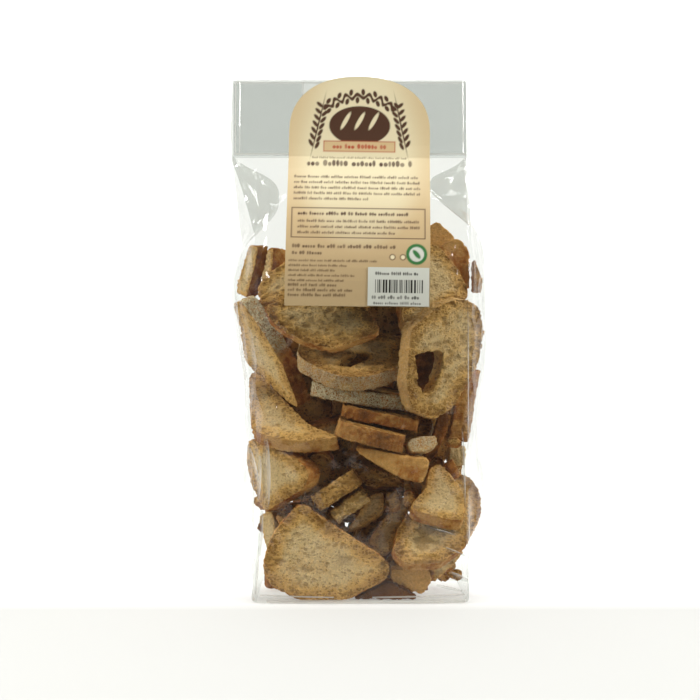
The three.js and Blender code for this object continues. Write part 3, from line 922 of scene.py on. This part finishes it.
def crease_film(obj, settings):
    """Lifts the film's skin along its creases, and buckles it over 26 mm."""
    rng = random.Random(SEED + 1)
    places = vertices_of(obj) / MM
    normals = vertices_of(obj, "normal")
    lift = np.zeros(len(places))
    front = ease(0.3, 0.7, -normals[:, 1])
    back = ease(0.3, 0.7, normals[:, 1])
    sides = ease(0.3, 0.7, np.abs(normals[:, 0]))
    seen = places[:, [0, 2]]
    across = places[:, [1, 2]]
    lift += front * crease_relief(seen, FRONT_CREASES + random_creases(rng, *FRONT_RANDOM), 5.0)
    lift += back * crease_relief(seen, random_creases(rng, *BACK_RANDOM), 5.5)
    for side in (-1, 1):
        chosen = sides * (np.sign(places[:, 0]) == side)
        lift += chosen * crease_relief(across, random_creases(rng, *SIDE_RANDOM), 5.0)
    header = ease(HEADER_FOOT - 5, HEADER_FOOT + 5, places[:, 2])
    buckle = np.array([noise.noise(Vector(p) / 26) for p in places])
    lift = settings.crease * lift * (1 - header) * ease(0, 5, places[:, 2])
    lift += 0.6 * buckle * ease(0, 8, places[:, 2]) * (1 - 0.6 * header) + 0.3 * (1 - header)
    # The label holds the film flat behind it.
    outside = np.maximum(np.abs(seen - LABEL_MIDDLE) - LABEL_REACH, 0).max(axis=1)
    held = front * (1 - ease(1, 15, outside))
    lift = lift * (1 - held) - 0.25 * held
    move_vertices(obj, (places + normals * lift[:, None]) * MM)
    alone(obj)
    bpy.ops.object.shade_smooth_by_angle(angle=math.radians(32))


def film_sheet(name, corners, columns, rows, ripple, seed):
    """A four-cornered sheet of film, rippled a little. corners run round it, in millimetres."""
    bpy.ops.object.select_all(action="DESELECT")
    bpy.ops.mesh.primitive_grid_add(x_subdivisions=columns, y_subdivisions=rows, size=2)
    obj = added(name)
    places = vertices_of(obj)
    s, t = (places[:, 0] + 1) / 2, (places[:, 1] + 1) / 2
    a, b, c, d = (np.array(corner, float) for corner in corners)
    weights = [(1 - s) * (1 - t), s * (1 - t), s * t, (1 - s) * t]
    sheet = sum(w[:, None] * corner for w, corner in zip(weights, (a, b, c, d)))
    waves = np.array([noise.noise(Vector((p[0] / 18, seed, p[2] / 24))) for p in sheet])
    sheet[:, 1] += ripple * waves
    move_vertices(obj, sheet * MM)
    alone(obj)
    bpy.ops.object.shade_smooth()
    return obj


# Folds and seams where the film is doubled, seen from in front: start, end and width, in mm.
# Their milky white is partly the doubled film's own and partly painted highlight; the first and
# widest fold, on the left, is a painted reflection of the left softbox.
FRONT_PLEATS = [
    ((-58.5, 103), (-58, 59), 5.5), ((-62.5, 92), (-63.5, 64), 3.0), ((-70, 96), (-64, 76), 3.5),
    ((-61, 58), (-62.5, 30), 3.0), ((-67, 76), (-68, 8), 1.6), ((-63, 36), (-65, 6), 2.0),
    ((-79, 196), (-76, 150), 1.6), ((-76, 160), (-74, 120), 2.0), ((67.5, 190), (68, 96), 1.4),
    ((69, 70), (68, 8), 1.6), ((44, 48), (60, 43), 1.6), ((52, 36), (66, 30), 1.6),
    ((56, 20), (68, 14), 3.0), ((64, 110), (66, 60), 2.2), ((48, 12), (64, 8), 2.0),
]
HEADER_SEAMS = [
    ((-36, 282.5), (-36, 330), 0.9), ((25, 282.5), (25, 330), 0.8), ((-80, 283.2), (68, 283.2), 1.3),
    ((-79.2, 284), (-79.2, 330), 0.7), ((-76.4, 284), (-76.4, 330), 0.6),
    ((66.4, 284), (66.4, 330), 0.8), ((-79, 329.2), (68, 329.2), 0.9),
]
# The base fold's pale strips also cover the shade under the bread's foot, as painted light.
BASE_FOLD = [((-58, 1.8), (66, 1.8), 2.6), ((-62, 5.4), (-16, 4.6), 1.0), ((8, 4.4), (66, 5.8), 1.2)]


def film_strips(name, runs, film, proud, blunt):
    """Narrow folds of film that lie on the film's front. blunt ones keep their width to the end."""
    tree = BVHTree.FromObject(film, bpy.context.evaluated_depsgraph_get())
    strips = []
    for start, end, width in runs:
        start, end = np.array(start, float), np.array(end, float)
        run = end - start
        length = np.hypot(*run)
        side = np.array([-run[1], run[0]]) / length
        bpy.ops.mesh.primitive_grid_add(x_subdivisions=max(int(length / 2), 2), y_subdivisions=6, size=2)
        strip = added(name)
        places = vertices_of(strip)
        t = (places[:, 0] + 1) / 2
        ends = t * 0 + 1 if blunt else np.sin(np.pi * np.clip(t, 0.02, 0.98)) ** 0.7
        half = width / 2 * (0.4 + 0.6 * ends)
        flat = start + t[:, None] * run + (places[:, 1] * half)[:, None] * side
        sheet = np.empty((len(flat), 3))
        for i, (x, z) in enumerate(flat):
            hit = tree.ray_cast(Vector((x * MM, IN_FRONT, z * MM)), Vector((0, 1, 0)))[0]
            y = hit.y / MM if hit else sheet[i - 1][1]
            sheet[i] = (x, y - proud - 0.5 * proud * places[i, 1], z)
        # A fold is milky along its upper or left edge, partly as painted highlight, and fades from there.
        mark(strip, "fold", ends * (1 if blunt else ((places[:, 1] + 1) / 2) ** 1.6))
        move_vertices(strip, sheet * MM)
        strips.append(strip)
    bpy.ops.object.select_all(action="DESELECT")
    for strip in strips:
        strip.select_set(True)
    bpy.ops.object.join()
    joined = added(name)
    alone(joined)
    bpy.ops.object.shade_smooth()
    return joined


# ---- Label ----
def soft_edge(signed, width=0.45):
    """1 inside a shape and 0 outside it, from the signed distance in millimetres."""
    return np.clip(0.5 - signed / width, 0, 1)


def ellipse(u, v, cu, cv, a, b, turn=0.0):
    """A filled ellipse about (cu, cv), a wide and b tall to each side of it."""
    cos, sin = math.cos(turn), math.sin(turn)
    x, y = (u - cu) * cos + (v - cv) * sin, -(u - cu) * sin + (v - cv) * cos
    ratio = np.sqrt((x / a) ** 2 + (y / b) ** 2)
    return soft_edge((ratio - 1) * min(a, b))


def rectangle(u, v, left, right, low, high):
    return soft_edge(np.maximum(np.maximum(left - u, u - right), np.maximum(low - v, v - high)))


def words(u, v, left, right, low, height, rng, longest=9.0):
    """A line of greeked text: words of plain blobs, some taller than others, with gaps between."""
    ink = np.zeros_like(u)
    row = np.flatnonzero((v > low - height) & (v < low + 2 * height) & (u > left - 2) & (u < right + 2))
    at = left
    while at < right - 1.5:
        end = min(at + rng.uniform(2.5, longest), right)
        while at < end:
            wide = height * rng.uniform(0.45, 0.8)
            tall = height * rng.choice((0.75, 0.75, 1.0, 1.15))
            blob = ellipse(u[row], v[row], at + wide / 2, low + tall / 2, wide / 2 + 0.1, tall / 2 + 0.1)
            ink[row] = np.maximum(ink[row], blob * rng.uniform(0.7, 1.0))
            at += wide + 0.16 * height
        at += 0.6 * height
    return ink


def wavy_line(u, v, left, right, level, rise, length, stroke):
    """A wavy line that swells and dies away twice along its run."""
    s = np.clip((u - left) / (right - left), 0, 1)
    swing = rise * (0.45 + 0.55 * np.abs(np.sin(2 * math.pi * s)))
    off = np.abs(v - level - swing * np.sin(2 * math.pi * (u - left) / length)) / (1 + 2.4 * rise / length)
    return soft_edge(np.maximum(off - stroke / 2, np.maximum(left - u, u - right)))


LOAF_HEIGHT = 116  # the printed loaf's middle above the label's foot
VINE_FOOT, VINE_RADIUS = 101, 34  # the middle and the radius of the arch that the vine runs round
SEAL = (36.5, 33)


def label_print(u, v, width, height, colours):
    """The label's colours: cream paper, browner towards its edges and foot, dark brown print."""
    paper = np.array(linear(colours.paper)[:3])
    peach = np.array(linear(colours.paper_edge)[:3])
    ink = np.array(linear(colours.ink)[:3])
    rust = np.array(linear(colours.rust)[:3])
    green = np.array(linear(colours.green)[:3])
    rng = random.Random(SEED + 2)
    edge = ease(0.62, 1.02, np.hypot(u / (width / 2), (v - 0.66 * height) / (0.5 * height)))
    foot = 1 - ease(0.1, 0.62, v / height)
    colour = paper + (peach - paper) * np.clip(0.7 * edge + 0.6 * foot, 0, 1)[:, None]
    colour *= (1 - 0.22 * foot)[:, None]

    def lay(mask, shade, strength=1.0):
        nonlocal colour
        colour = colour + (shade - colour) * (strength * mask)[:, None]

    # A round loaf with three slashes over a banner, between two ears of wheat, under a vine.
    lay(ellipse(u, v, 0, LOAF_HEIGHT, 19.5, 12.5), ink)
    for slash in (-9, 0, 9):
        lay(ellipse(u, v, slash, LOAF_HEIGHT + 3, 1.3, 6.2, -0.5), paper)
    lay(rectangle(u, v, -23, 23, 98.9, 106.1), rust)
    lay(rectangle(u, v, -22.5, 22.5, 99.4, 105.6), peach)
    lay(words(u, v, -17, 17, 101.0, 2.6, rng, 14), rust)
    for side in (-1, 1):
        for k in range(7):
            turn = side * (0.5 + 0.06 * k)
            lay(ellipse(u, v, side * (27 - 0.9 * k), 103 + 4.1 * k, 1.1, 2.6, turn), ink)
            lay(ellipse(u, v, side * (31 - 0.9 * k), 104.5 + 4.1 * k, 1.1, 2.6, -turn), ink)
        lay(ellipse(u, v, side * 26.5, LOAF_HEIGHT, 0.5, 17, side * 0.22), ink)
    turned = np.arctan2(u, v - VINE_FOOT)
    vine = wavy_line(VINE_RADIUS * turned, np.hypot(u, v - VINE_FOOT), -25, 25, VINE_RADIUS, 1.9, 7.2, 1.5)
    lay(vine, ink)
    for k in range(14):
        angle = (k - 6.5) * 3.6 / VINE_RADIUS
        rise = VINE_RADIUS + (2.6 if k % 2 else -2.6)
        lay(ellipse(u, v, rise * math.sin(angle), VINE_FOOT + rise * math.cos(angle), 1.2, 2.1, angle), ink)
    # A title with a small line over it, a paragraph, a boxed table and the rows of small print.
    lay(words(u, v, -33, 33, 89.5, 3.4, rng, 22), ink)
    lay(words(u, v, -30, 30, 94.5, 1.1, rng, 7), ink, 0.7)
    for k in range(5):
        right = 38 if k < 4 else 6
        lay(words(u, v, -41, right, 81.5 - 3.6 * k, 1.5, rng), ink, 0.85)
    frame_box = rectangle(u, v, -42, 42, 42.5, 62) - rectangle(u, v, -41.4, 41.4, 43.1, 61.4)
    lay(frame_box, ink)
    lay(words(u, v, -38, 30, 57.2, 1.9, rng, 12), ink)
    for k in range(3):
        lay(words(u, v, -38, 38 - 16 * (k == 2), 52.6 - 3.7 * k, 1.5, rng), ink, 0.85)
    lay(words(u, v, -41, 22, 36.2, 2.1, rng), ink, 0.9)
    lay(words(u, v, -41, -22, 32.0, 2.0, rng), ink, 0.9)
    for k in range(8):
        right = -2 - 5 * (k % 3) if k else 14
        lay(words(u, v, -43, right, 27.6 - 3.1 * k, 1.2 + 0.5 * (k > 4), rng, 7), ink, 0.8)
    # A plain green seal and two dots.
    lay(ellipse(u, v, *SEAL, 6.6, 6.6), green)
    lay(ellipse(u, v, *SEAL, 4.6, 4.6), np.array(linear(colours.white_paper)[:3]))
    lay(ellipse(u, v, *SEAL, 1.4, 3.4, 0.7), green)
    for cu in (21.5, 28):
        lay(ellipse(u, v, cu, 31, 2.0, 2.0), ink, 0.8)
        lay(ellipse(u, v, cu, 31, 1.3, 1.3), paper)
    return colour


def sticker_print(u, v, width, height, colours):
    """The bar sticker: white paper, a row of bars, and greeked lines over and under it."""
    white = np.array(linear(colours.white_paper)[:3])
    black = np.array(linear(colours.black)[:3])
    rng = random.Random(SEED + 3)
    colour = np.tile(white, (len(u), 1))

    def lay(mask, strength=1.0):
        nonlocal colour
        colour = colour + (black - colour) * (strength * mask)[:, None]

    left, right = -0.38 * width, 0.38 * width
    at = left
    while at < right:
        bar = rng.choice((0.4, 0.4, 0.8, 1.2))
        lay(soft_edge(np.maximum(np.maximum(at - u, u - at - bar),
                                 np.maximum(0.34 * height - v, v - 0.68 * height)), 0.25))
        at += bar + rng.choice((0.45, 0.45, 0.9))
    lay(words(u, v, left, 0.3 * width, 0.80 * height, 1.7, rng), 0.9)
    lay(words(u, v, left - 2, right, 0.18 * height, 2.0, rng, 4), 0.85)
    lay(words(u, v, left - 1, 0.34 * width, 0.04 * height, 1.5, rng), 0.7)
    return colour


# The size of their mesh cells, fine enough for the print, and the label under 200,000 triangles.
LABEL_STEP, STICKER_STEP = 0.53, 0.2
SHEET_LIFT = 0.02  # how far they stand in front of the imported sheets
STRAIGHT_PART = 0.3  # a height, as a share of the sheet's, where its sides are straight


def sheet_over(name, node_name, step, thickness, printer, colours):
    """A finely divided sheet that follows the front of a packed sheet, with its print."""
    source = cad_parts[node_name]
    low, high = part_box(node_name)
    source.data.calc_loop_triangles()
    corners = [v.co.copy() for v in source.data.vertices]
    front = BVHTree.FromPolygons(corners, [t.vertices[:] for t in source.data.loop_triangles])
    bpy.ops.object.select_all(action="DESELECT")
    width, height = (high.x - low.x) / MM, (high.z - low.z) / MM
    columns, rows = int(width / step), int(height / step)
    bpy.ops.mesh.primitive_grid_add(x_subdivisions=columns, y_subdivisions=rows, size=2)
    obj = added(name)
    places = vertices_of(obj)
    middle, turn = sheet_axis(corners)
    s, t = places[:, 0], (places[:, 1] + 1) / 2
    half, tall = sheet_half_width(corners, middle, turn)
    u = s * half(t * tall)
    v = t * tall
    x = middle[0] + u * math.cos(turn) + (v - tall / 2) * math.sin(turn)
    z = middle[1] - u * math.sin(turn) + (v - tall / 2) * math.cos(turn)
    sheet = np.empty((len(u), 3))
    for i in range(len(u)):
        hit = None
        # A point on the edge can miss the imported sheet, so it is drawn in until it doesn't.
        for pull in (0.9995, 0.99, 0.97):
            px = middle[0] + (x[i] - middle[0]) * pull
            pz = middle[1] + (z[i] - middle[1]) * pull
            hit = front.ray_cast(Vector((px * MM, IN_FRONT, pz * MM)), Vector((0, 1, 0)))[0]
            if hit:
                break
        if not hit:
            raise RuntimeError(f"{name} reaches past the packed {node_name}")
        sheet[i] = (x[i], hit.y / MM - SHEET_LIFT, z[i])
    move_vertices(obj, sheet * MM)
    front_print = printer(u, v, 2 * half(np.array([STRAIGHT_PART * tall]))[0], tall, colours)
    # The sheet's back is plain paper. Solidify adds it after the front's vertices.
    finish_with(obj, "SOLIDIFY", thickness=thickness * MM, offset=-1.0)
    plain_back = np.tile(linear(colours.white_paper)[:3], (len(front_print), 1))
    paint(obj, "print", np.vstack([front_print, plain_back]))
    alone(obj)
    bpy.ops.object.shade_smooth_by_angle(angle=math.radians(40))
    return obj


def sheet_axis(corners):
    """The middle of a packed sheet and its turn, from its lower edge, as seen from the front."""
    places = np.array([(c.x, c.z) for c in corners]) / MM
    # The lower corners are the ones that reach furthest down and to each side.
    right = places[np.argmax(places[:, 0] - 0.9 * places[:, 1])]
    left = places[np.argmin(places[:, 0] + 0.9 * places[:, 1])]
    turn = -math.atan2(right[1] - left[1], right[0] - left[0])
    foot = (left + right) / 2
    up = np.array([math.sin(turn), math.cos(turn)])
    tall = ((places - foot) @ up).max()
    return foot + up * tall / 2, turn


def sheet_half_width(corners, middle, turn):
    """The sheet's half width at each height above its foot, and its height."""
    places = np.array([(c.x, c.z) for c in corners]) / MM - middle
    u = places[:, 0] * math.cos(turn) - places[:, 1] * math.sin(turn)
    v = places[:, 0] * math.sin(turn) + places[:, 1] * math.cos(turn)
    tall = v.max() - v.min()
    levels = np.unique(np.round(v - v.min(), 1))
    widths = [np.abs(u[np.abs(v - v.min() - level) < 0.2]).max() for level in levels]
    return (lambda heights: np.interp(heights, levels, widths)), tall


# ---- Settings ----
class RuskColours(bpy.types.PropertyGroup):
    """Colours, as sRGB hex values."""

    crumb: bpy.props.StringProperty(name="Crumb", description="Pale crumb", default="#DDBF89")
    golden_crumb: bpy.props.StringProperty(name="Golden crumb", description="Crumb towards the rim",
                                           default="#DAAC63")
    toasted_crumb: bpy.props.StringProperty(name="Toasted crumb", description="Crumb where it browned",
                                            default="#9C682A")
    # The pores' colour is painted shade in their hollows.
    pore: bpy.props.StringProperty(name="Pores", description="Inside of the crumb's pores",
                                   default="#6F4A1B")
    rim: bpy.props.StringProperty(name="Rim", description="Edge of a slice's face", default="#DDAA62")
    golden_crust: bpy.props.StringProperty(name="Golden crust", description="Lightly baked crust",
                                           default="#D3A05A")
    orange_crust: bpy.props.StringProperty(name="Orange crust", description="Crust baked further",
                                           default="#A86A2E")
    dark_crust: bpy.props.StringProperty(name="Dark crust", description="Well baked crust",
                                         default="#6E4420")
    flour: bpy.props.StringProperty(name="Flour", description="Flour left on the crust",
                                    default="#D6C9A2")
    film: bpy.props.StringProperty(name="Film", description="What one layer of film lets through",
                                   default="#ECEDEB")
    flap_film: bpy.props.StringProperty(name="Folded film", description="The same where it is doubled",
                                        default="#E7E9E8")
    paper: bpy.props.StringProperty(name="Label", description="The label's paper", default="#DBCFA9")
    paper_edge: bpy.props.StringProperty(name="Label edge", description="Its edges and foot",
                                         default="#C9AE80")
    ink: bpy.props.StringProperty(name="Ink", description="The label's print", default="#4A2E1C")
    rust: bpy.props.StringProperty(name="Rust band", description="The label's band", default="#A8452A")
    green: bpy.props.StringProperty(name="Seal", description="The label's green seal",
                                    default="#2E6B34")
    white_paper: bpy.props.StringProperty(name="Sticker", description="The sticker's paper",
                                          default="#C6C7BA")
    black: bpy.props.StringProperty(name="Bars", description="The sticker's bars", default="#26241F")


class RuskSizes(bpy.types.PropertyGroup):
    """Sizes and amounts."""

    voxel: bpy.props.FloatProperty(name="Crumb detail", description="Size of the slices' mesh cells, in mm",
                                   default=0.86, min=0.5)
    inner_count: bpy.props.IntProperty(name="Inner slices", description="Most pieces behind the front ones",
                                       default=46, min=0)
    drops: bpy.props.IntProperty(name="Drops", description="Tries for each inner slice", default=44, min=1)
    gap_tries: bpy.props.IntProperty(name="Gap pieces", description="Tries to close gaps in the heap",
                                     default=260, min=0)
    fill_height: bpy.props.FloatProperty(name="Fill height", description="The bread stays below this, in mm",
                                         default=214.0)
    crease: bpy.props.FloatProperty(name="Creasing", description="How strongly the film is creased",
                                    default=1.0, min=0.0, subtype="FACTOR")
    paper_thickness: bpy.props.FloatProperty(name="Paper", description="Thickness of the label's paper",
                                             default=0.15 * MM, subtype="DISTANCE", unit="LENGTH")


def sizes():
    return bpy.context.scene.rusk_sizes


def colours_now():
    return bpy.context.scene.rusk_colours


# ---- Operators ----
INNER_VOXEL = 1.4  # the inner slices' mesh cells, as a multiple of the front slices'


class RUSK_OT_slices(bpy.types.Operator):
    """Bake the slices: those that show through the front, and those that fill the bag behind"""

    bl_idname = "rusk.slices"
    bl_label = "Slices"

    def execute(self, context):
        # Blender's noise vectors start from the clock unless they get a seed.
        noise.seed_set(SEED)
        material = rusk_material(colours_now())
        heap = Heap(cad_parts["bag"])
        for bread in FRONT_BREAD:
            heap.add(bread)
        pieces = list(FRONT_BREAD)
        pieces += close_gaps(heap, sizes(), fill_behind(heap, sizes()))
        for bread in pieces:
            inner = bread.name.startswith("inner")
            obj = bake_slice(bread, material, sizes().voxel * (INNER_VOXEL if inner else 1.0))
            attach(obj, "root")
            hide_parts("bag")
        return {"FINISHED"}


class RUSK_OT_film(bpy.types.Operator):
    """Make the film from the bag's imported skin, crease it, and fold its header"""

    bl_idname = "rusk.film"
    bl_label = "Film"

    def execute(self, context):
        clear = film_material("clear_cast_film", colours_now().film)
        doubled = film_material("folded_cast_film", colours_now().flap_film, 0.35)
        film = film_from_solid("film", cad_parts["bag"])
        crease_film(film, sizes())
        dress(film, clear)
        flap = film_sheet("folded_flap", [(HEADER_LEFT, -8.6, HEADER_FOOT),
                                          (HEADER_RIGHT, -8.6, HEADER_FOOT),
                                          (HEADER_RIGHT, -7.0, HEADER_TOP),
                                          (HEADER_LEFT, -7.0, HEADER_TOP)], 50, 18, 1.4, 3.1)
        dress(flap, doubled)
        pieces = [film, flap]
        # The side gussets' tucks lie inside the header, 45 mm deep.
        foot, top = HEADER_FOOT - 2, HEADER_TOP - 2
        for side, edge, inner in (("left", HEADER_LEFT + 0.4, -36), ("right", HEADER_RIGHT - 0.4, 24)):
            tuck = film_sheet(f"gusset_tuck_{side}", [(edge, -13.6, foot), (inner, -13.6, foot),
                                                      (inner, -10.4, top), (edge, -10.4, top)],
                              16, 18, 0.3, 5.7)
            dress(tuck, doubled)
            pieces.append(tuck)
        for name, runs, milk_and_sheen, blunt in (("film_pleats", FRONT_PLEATS, 0.6, False),
                                        ("header_seams", HEADER_SEAMS, 0.5, True),
                                        ("base_fold", BASE_FOLD, 0.45, True)):
            strips = film_strips(name, runs, film, 0.4, blunt)
            dress(strips, film_material(name + "_film", colours_now().film, 0.3, milk_and_sheen))
            pieces.append(strips)
        for piece in pieces:
            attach(piece, "root")
            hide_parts("bag")
        return {"FINISHED"}


class RUSK_OT_label(bpy.types.Operator):
    """Print the arch-topped label and stick it on"""

    bl_idname = "rusk.label"
    bl_label = "Label"

    def execute(self, context):
        label = sheet_over("printed_label", "label", LABEL_STEP, sizes().paper_thickness / MM,
                           label_print, colours_now())
        dress(label, paper_material("coated_label_paper", 0.5))
        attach(label, "root")
        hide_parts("label")
        return {"FINISHED"}


class RUSK_OT_sticker(bpy.types.Operator):
    """Print the bar sticker and stick it on the label"""

    bl_idname = "rusk.sticker"
    bl_label = "Bar sticker"

    def execute(self, context):
        sticker = sheet_over("printed_sticker", "bar_sticker", STICKER_STEP,
                             sizes().paper_thickness / MM, sticker_print, colours_now())
        dress(sticker, paper_material("white_sticker_paper", 0.45, 0.04))
        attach(sticker, "root")
        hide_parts("bar_sticker")
        return {"FINISHED"}


class RUSK_OT_stage(bpy.types.Operator):
    """Set the white sweep, the lamps and the camera"""

    bl_idname = "rusk.stage"
    bl_label = "Stage"

    def execute(self, context):
        add_sweep()
        add_lamps()
        add_camera()
        return {"FINISHED"}


# The sweep, in metres: half its width, where it starts in front of the bag, its whole run, where
# the run starts to curve up, and the curve's radius.
SWEEP_REACH, SWEEP_FRONT, SWEEP_RUN, SWEEP_FLAT, SWEEP_RADIUS = 2.5, -0.34, 3.4, 1.1, 0.5
# Name, place and size in metres, and power in watts.
LAMPS = [
    ("key", (-1.0, -0.42, 0.8), (0.22, 0.6), 11.5), ("fill", (1.0, -0.42, 0.8), (0.22, 0.6), 10.0),
    ("top", (0.0, -0.25, 1.2), (0.8, 0.5), 9.0),
]
LAMPS_AIM = Vector((0, 0, 0.16))


def add_sweep():
    """A white floor that curves up into a white background."""
    bpy.ops.object.select_all(action="DESELECT")
    bpy.ops.mesh.primitive_grid_add(x_subdivisions=2, y_subdivisions=40, size=2)
    sweep = added("white_sweep")
    places = vertices_of(sweep)
    run = (places[:, 1] + 1) / 2 * SWEEP_RUN + SWEEP_FRONT
    angle = np.clip((run - SWEEP_FLAT) / SWEEP_RADIUS, 0, math.pi / 2)
    back = np.minimum(run, SWEEP_FLAT) + SWEEP_RADIUS * np.sin(angle)
    straight = np.maximum(run - SWEEP_FLAT - SWEEP_RADIUS * math.pi / 2, 0)
    height = SWEEP_RADIUS * (1 - np.cos(angle)) + straight
    move_vertices(sweep, np.column_stack([places[:, 0] * SWEEP_REACH, back, height]))
    alone(sweep)
    bpy.ops.object.shade_smooth()
    material, tree = new_material("white_glowing_sweep")
    place = node(tree, "ShaderNodeTexCoord")
    axes = node(tree, "ShaderNodeSeparateXYZ", {"Vector": (place, "Object")})
    # The sweep glows, as painted light: hardly on the floor in front of the bag, rising under it,
    # and fully from 30 mm behind the bag's middle and up the wall.
    glow = node(tree, "ShaderNodeMapRange", {"Value": (axes, "Y"), "From Min": -0.06, "From Max": 0.03,
                                             "To Min": 0.05, "To Max": 0.85})
    paper = node(tree, "ShaderNodeBsdfPrincipled", {
        "Base Color": linear("#C0C0BC"), "Roughness": 0.9, "Specular IOR Level": 0.1,
        "Emission Color": linear("#FFFFFF"), "Emission Strength": glow})
    node(tree, "ShaderNodeOutputMaterial", {"Surface": paper})
    dress(sweep, material)


def add_lamps():
    """Two upright softboxes at the sides, one overhead, and a light tent round them."""
    for name, place, size, power in LAMPS:
        aim = (LAMPS_AIM - Vector(place)).to_track_quat("-Z", "Y").to_euler()
        bpy.ops.object.light_add(type="AREA", location=place, rotation=aim)
        lamp = bpy.context.object
        lamp.name = name + "_softbox"
        lamp.data.shape = "RECTANGLE"
        lamp.data.size, lamp.data.size_y = size
        lamp.data.energy = power
    world = bpy.data.worlds.new("studio")
    world.use_nodes = True
    tree = world.node_tree
    tree.nodes.clear()
    # A light tent: white at the sides and behind, with a dark opening for the camera.
    place = node(tree, "ShaderNodeTexCoord")
    axes = node(tree, "ShaderNodeSeparateXYZ", {"Vector": (place, "Generated")})
    tent = node(tree, "ShaderNodeMapRange", {"Value": (axes, "Y"), "From Min": -0.75,
                                             "From Max": -0.1, "To Min": 0.03, "To Max": 0.5})
    light = node(tree, "ShaderNodeBackground", {"Color": linear("#FFFFFF"), "Strength": tent})
    node(tree, "ShaderNodeOutputWorld", {"Surface": light})
    bpy.context.scene.world = world


def add_camera():
    """The photograph's view: from a little to the left of the bag's middle and above it."""
    bpy.ops.object.camera_add(location=CAMERA_PLACE, rotation=(math.radians(90 - CAMERA_TILT), 0, 0))
    camera = bpy.context.object
    camera.data.sensor_width = SENSOR_WIDTH
    camera.data.lens = SENSOR_WIDTH * -CAMERA_PLACE.y / VIEW_WIDTH
    bpy.context.scene.camera = camera
    bpy.context.scene.view_settings.view_transform = "Standard"


class RUSK_PT_panel(bpy.types.Panel):
    """The sizes, colours and steps of the bag of rusks"""

    bl_label = "Bag of rusks"
    bl_idname = "RUSK_PT_panel"
    bl_space_type = "VIEW_3D"
    bl_region_type = "UI"
    bl_category = "Rusks"

    def draw(self, context):
        for group in (context.scene.rusk_sizes, context.scene.rusk_colours):
            box = self.layout.box()
            for name in group.bl_rna.properties.keys():
                if name not in ("rna_type", "name"):
                    box.prop(group, name)
        for step in STEPS:
            self.layout.operator(step.bl_idname)


STEPS = (RUSK_OT_slices, RUSK_OT_film, RUSK_OT_label, RUSK_OT_sticker, RUSK_OT_stage)
CLASSES = (RuskColours, RuskSizes, *STEPS, RUSK_PT_panel)


def register():
    for cls in CLASSES:
        bpy.utils.register_class(cls)
    bpy.types.Scene.rusk_sizes = bpy.props.PointerProperty(type=RuskSizes)
    bpy.types.Scene.rusk_colours = bpy.props.PointerProperty(type=RuskColours)


def unregister():
    del bpy.types.Scene.rusk_colours
    del bpy.types.Scene.rusk_sizes
    for cls in reversed(CLASSES):
        bpy.utils.unregister_class(cls)


def main():
    register()
    bpy.ops.rusk.slices()
    bpy.ops.rusk.film()
    bpy.ops.rusk.label()
    bpy.ops.rusk.sticker()
    bpy.ops.rusk.stage()


if __name__ == "__main__":
    main()
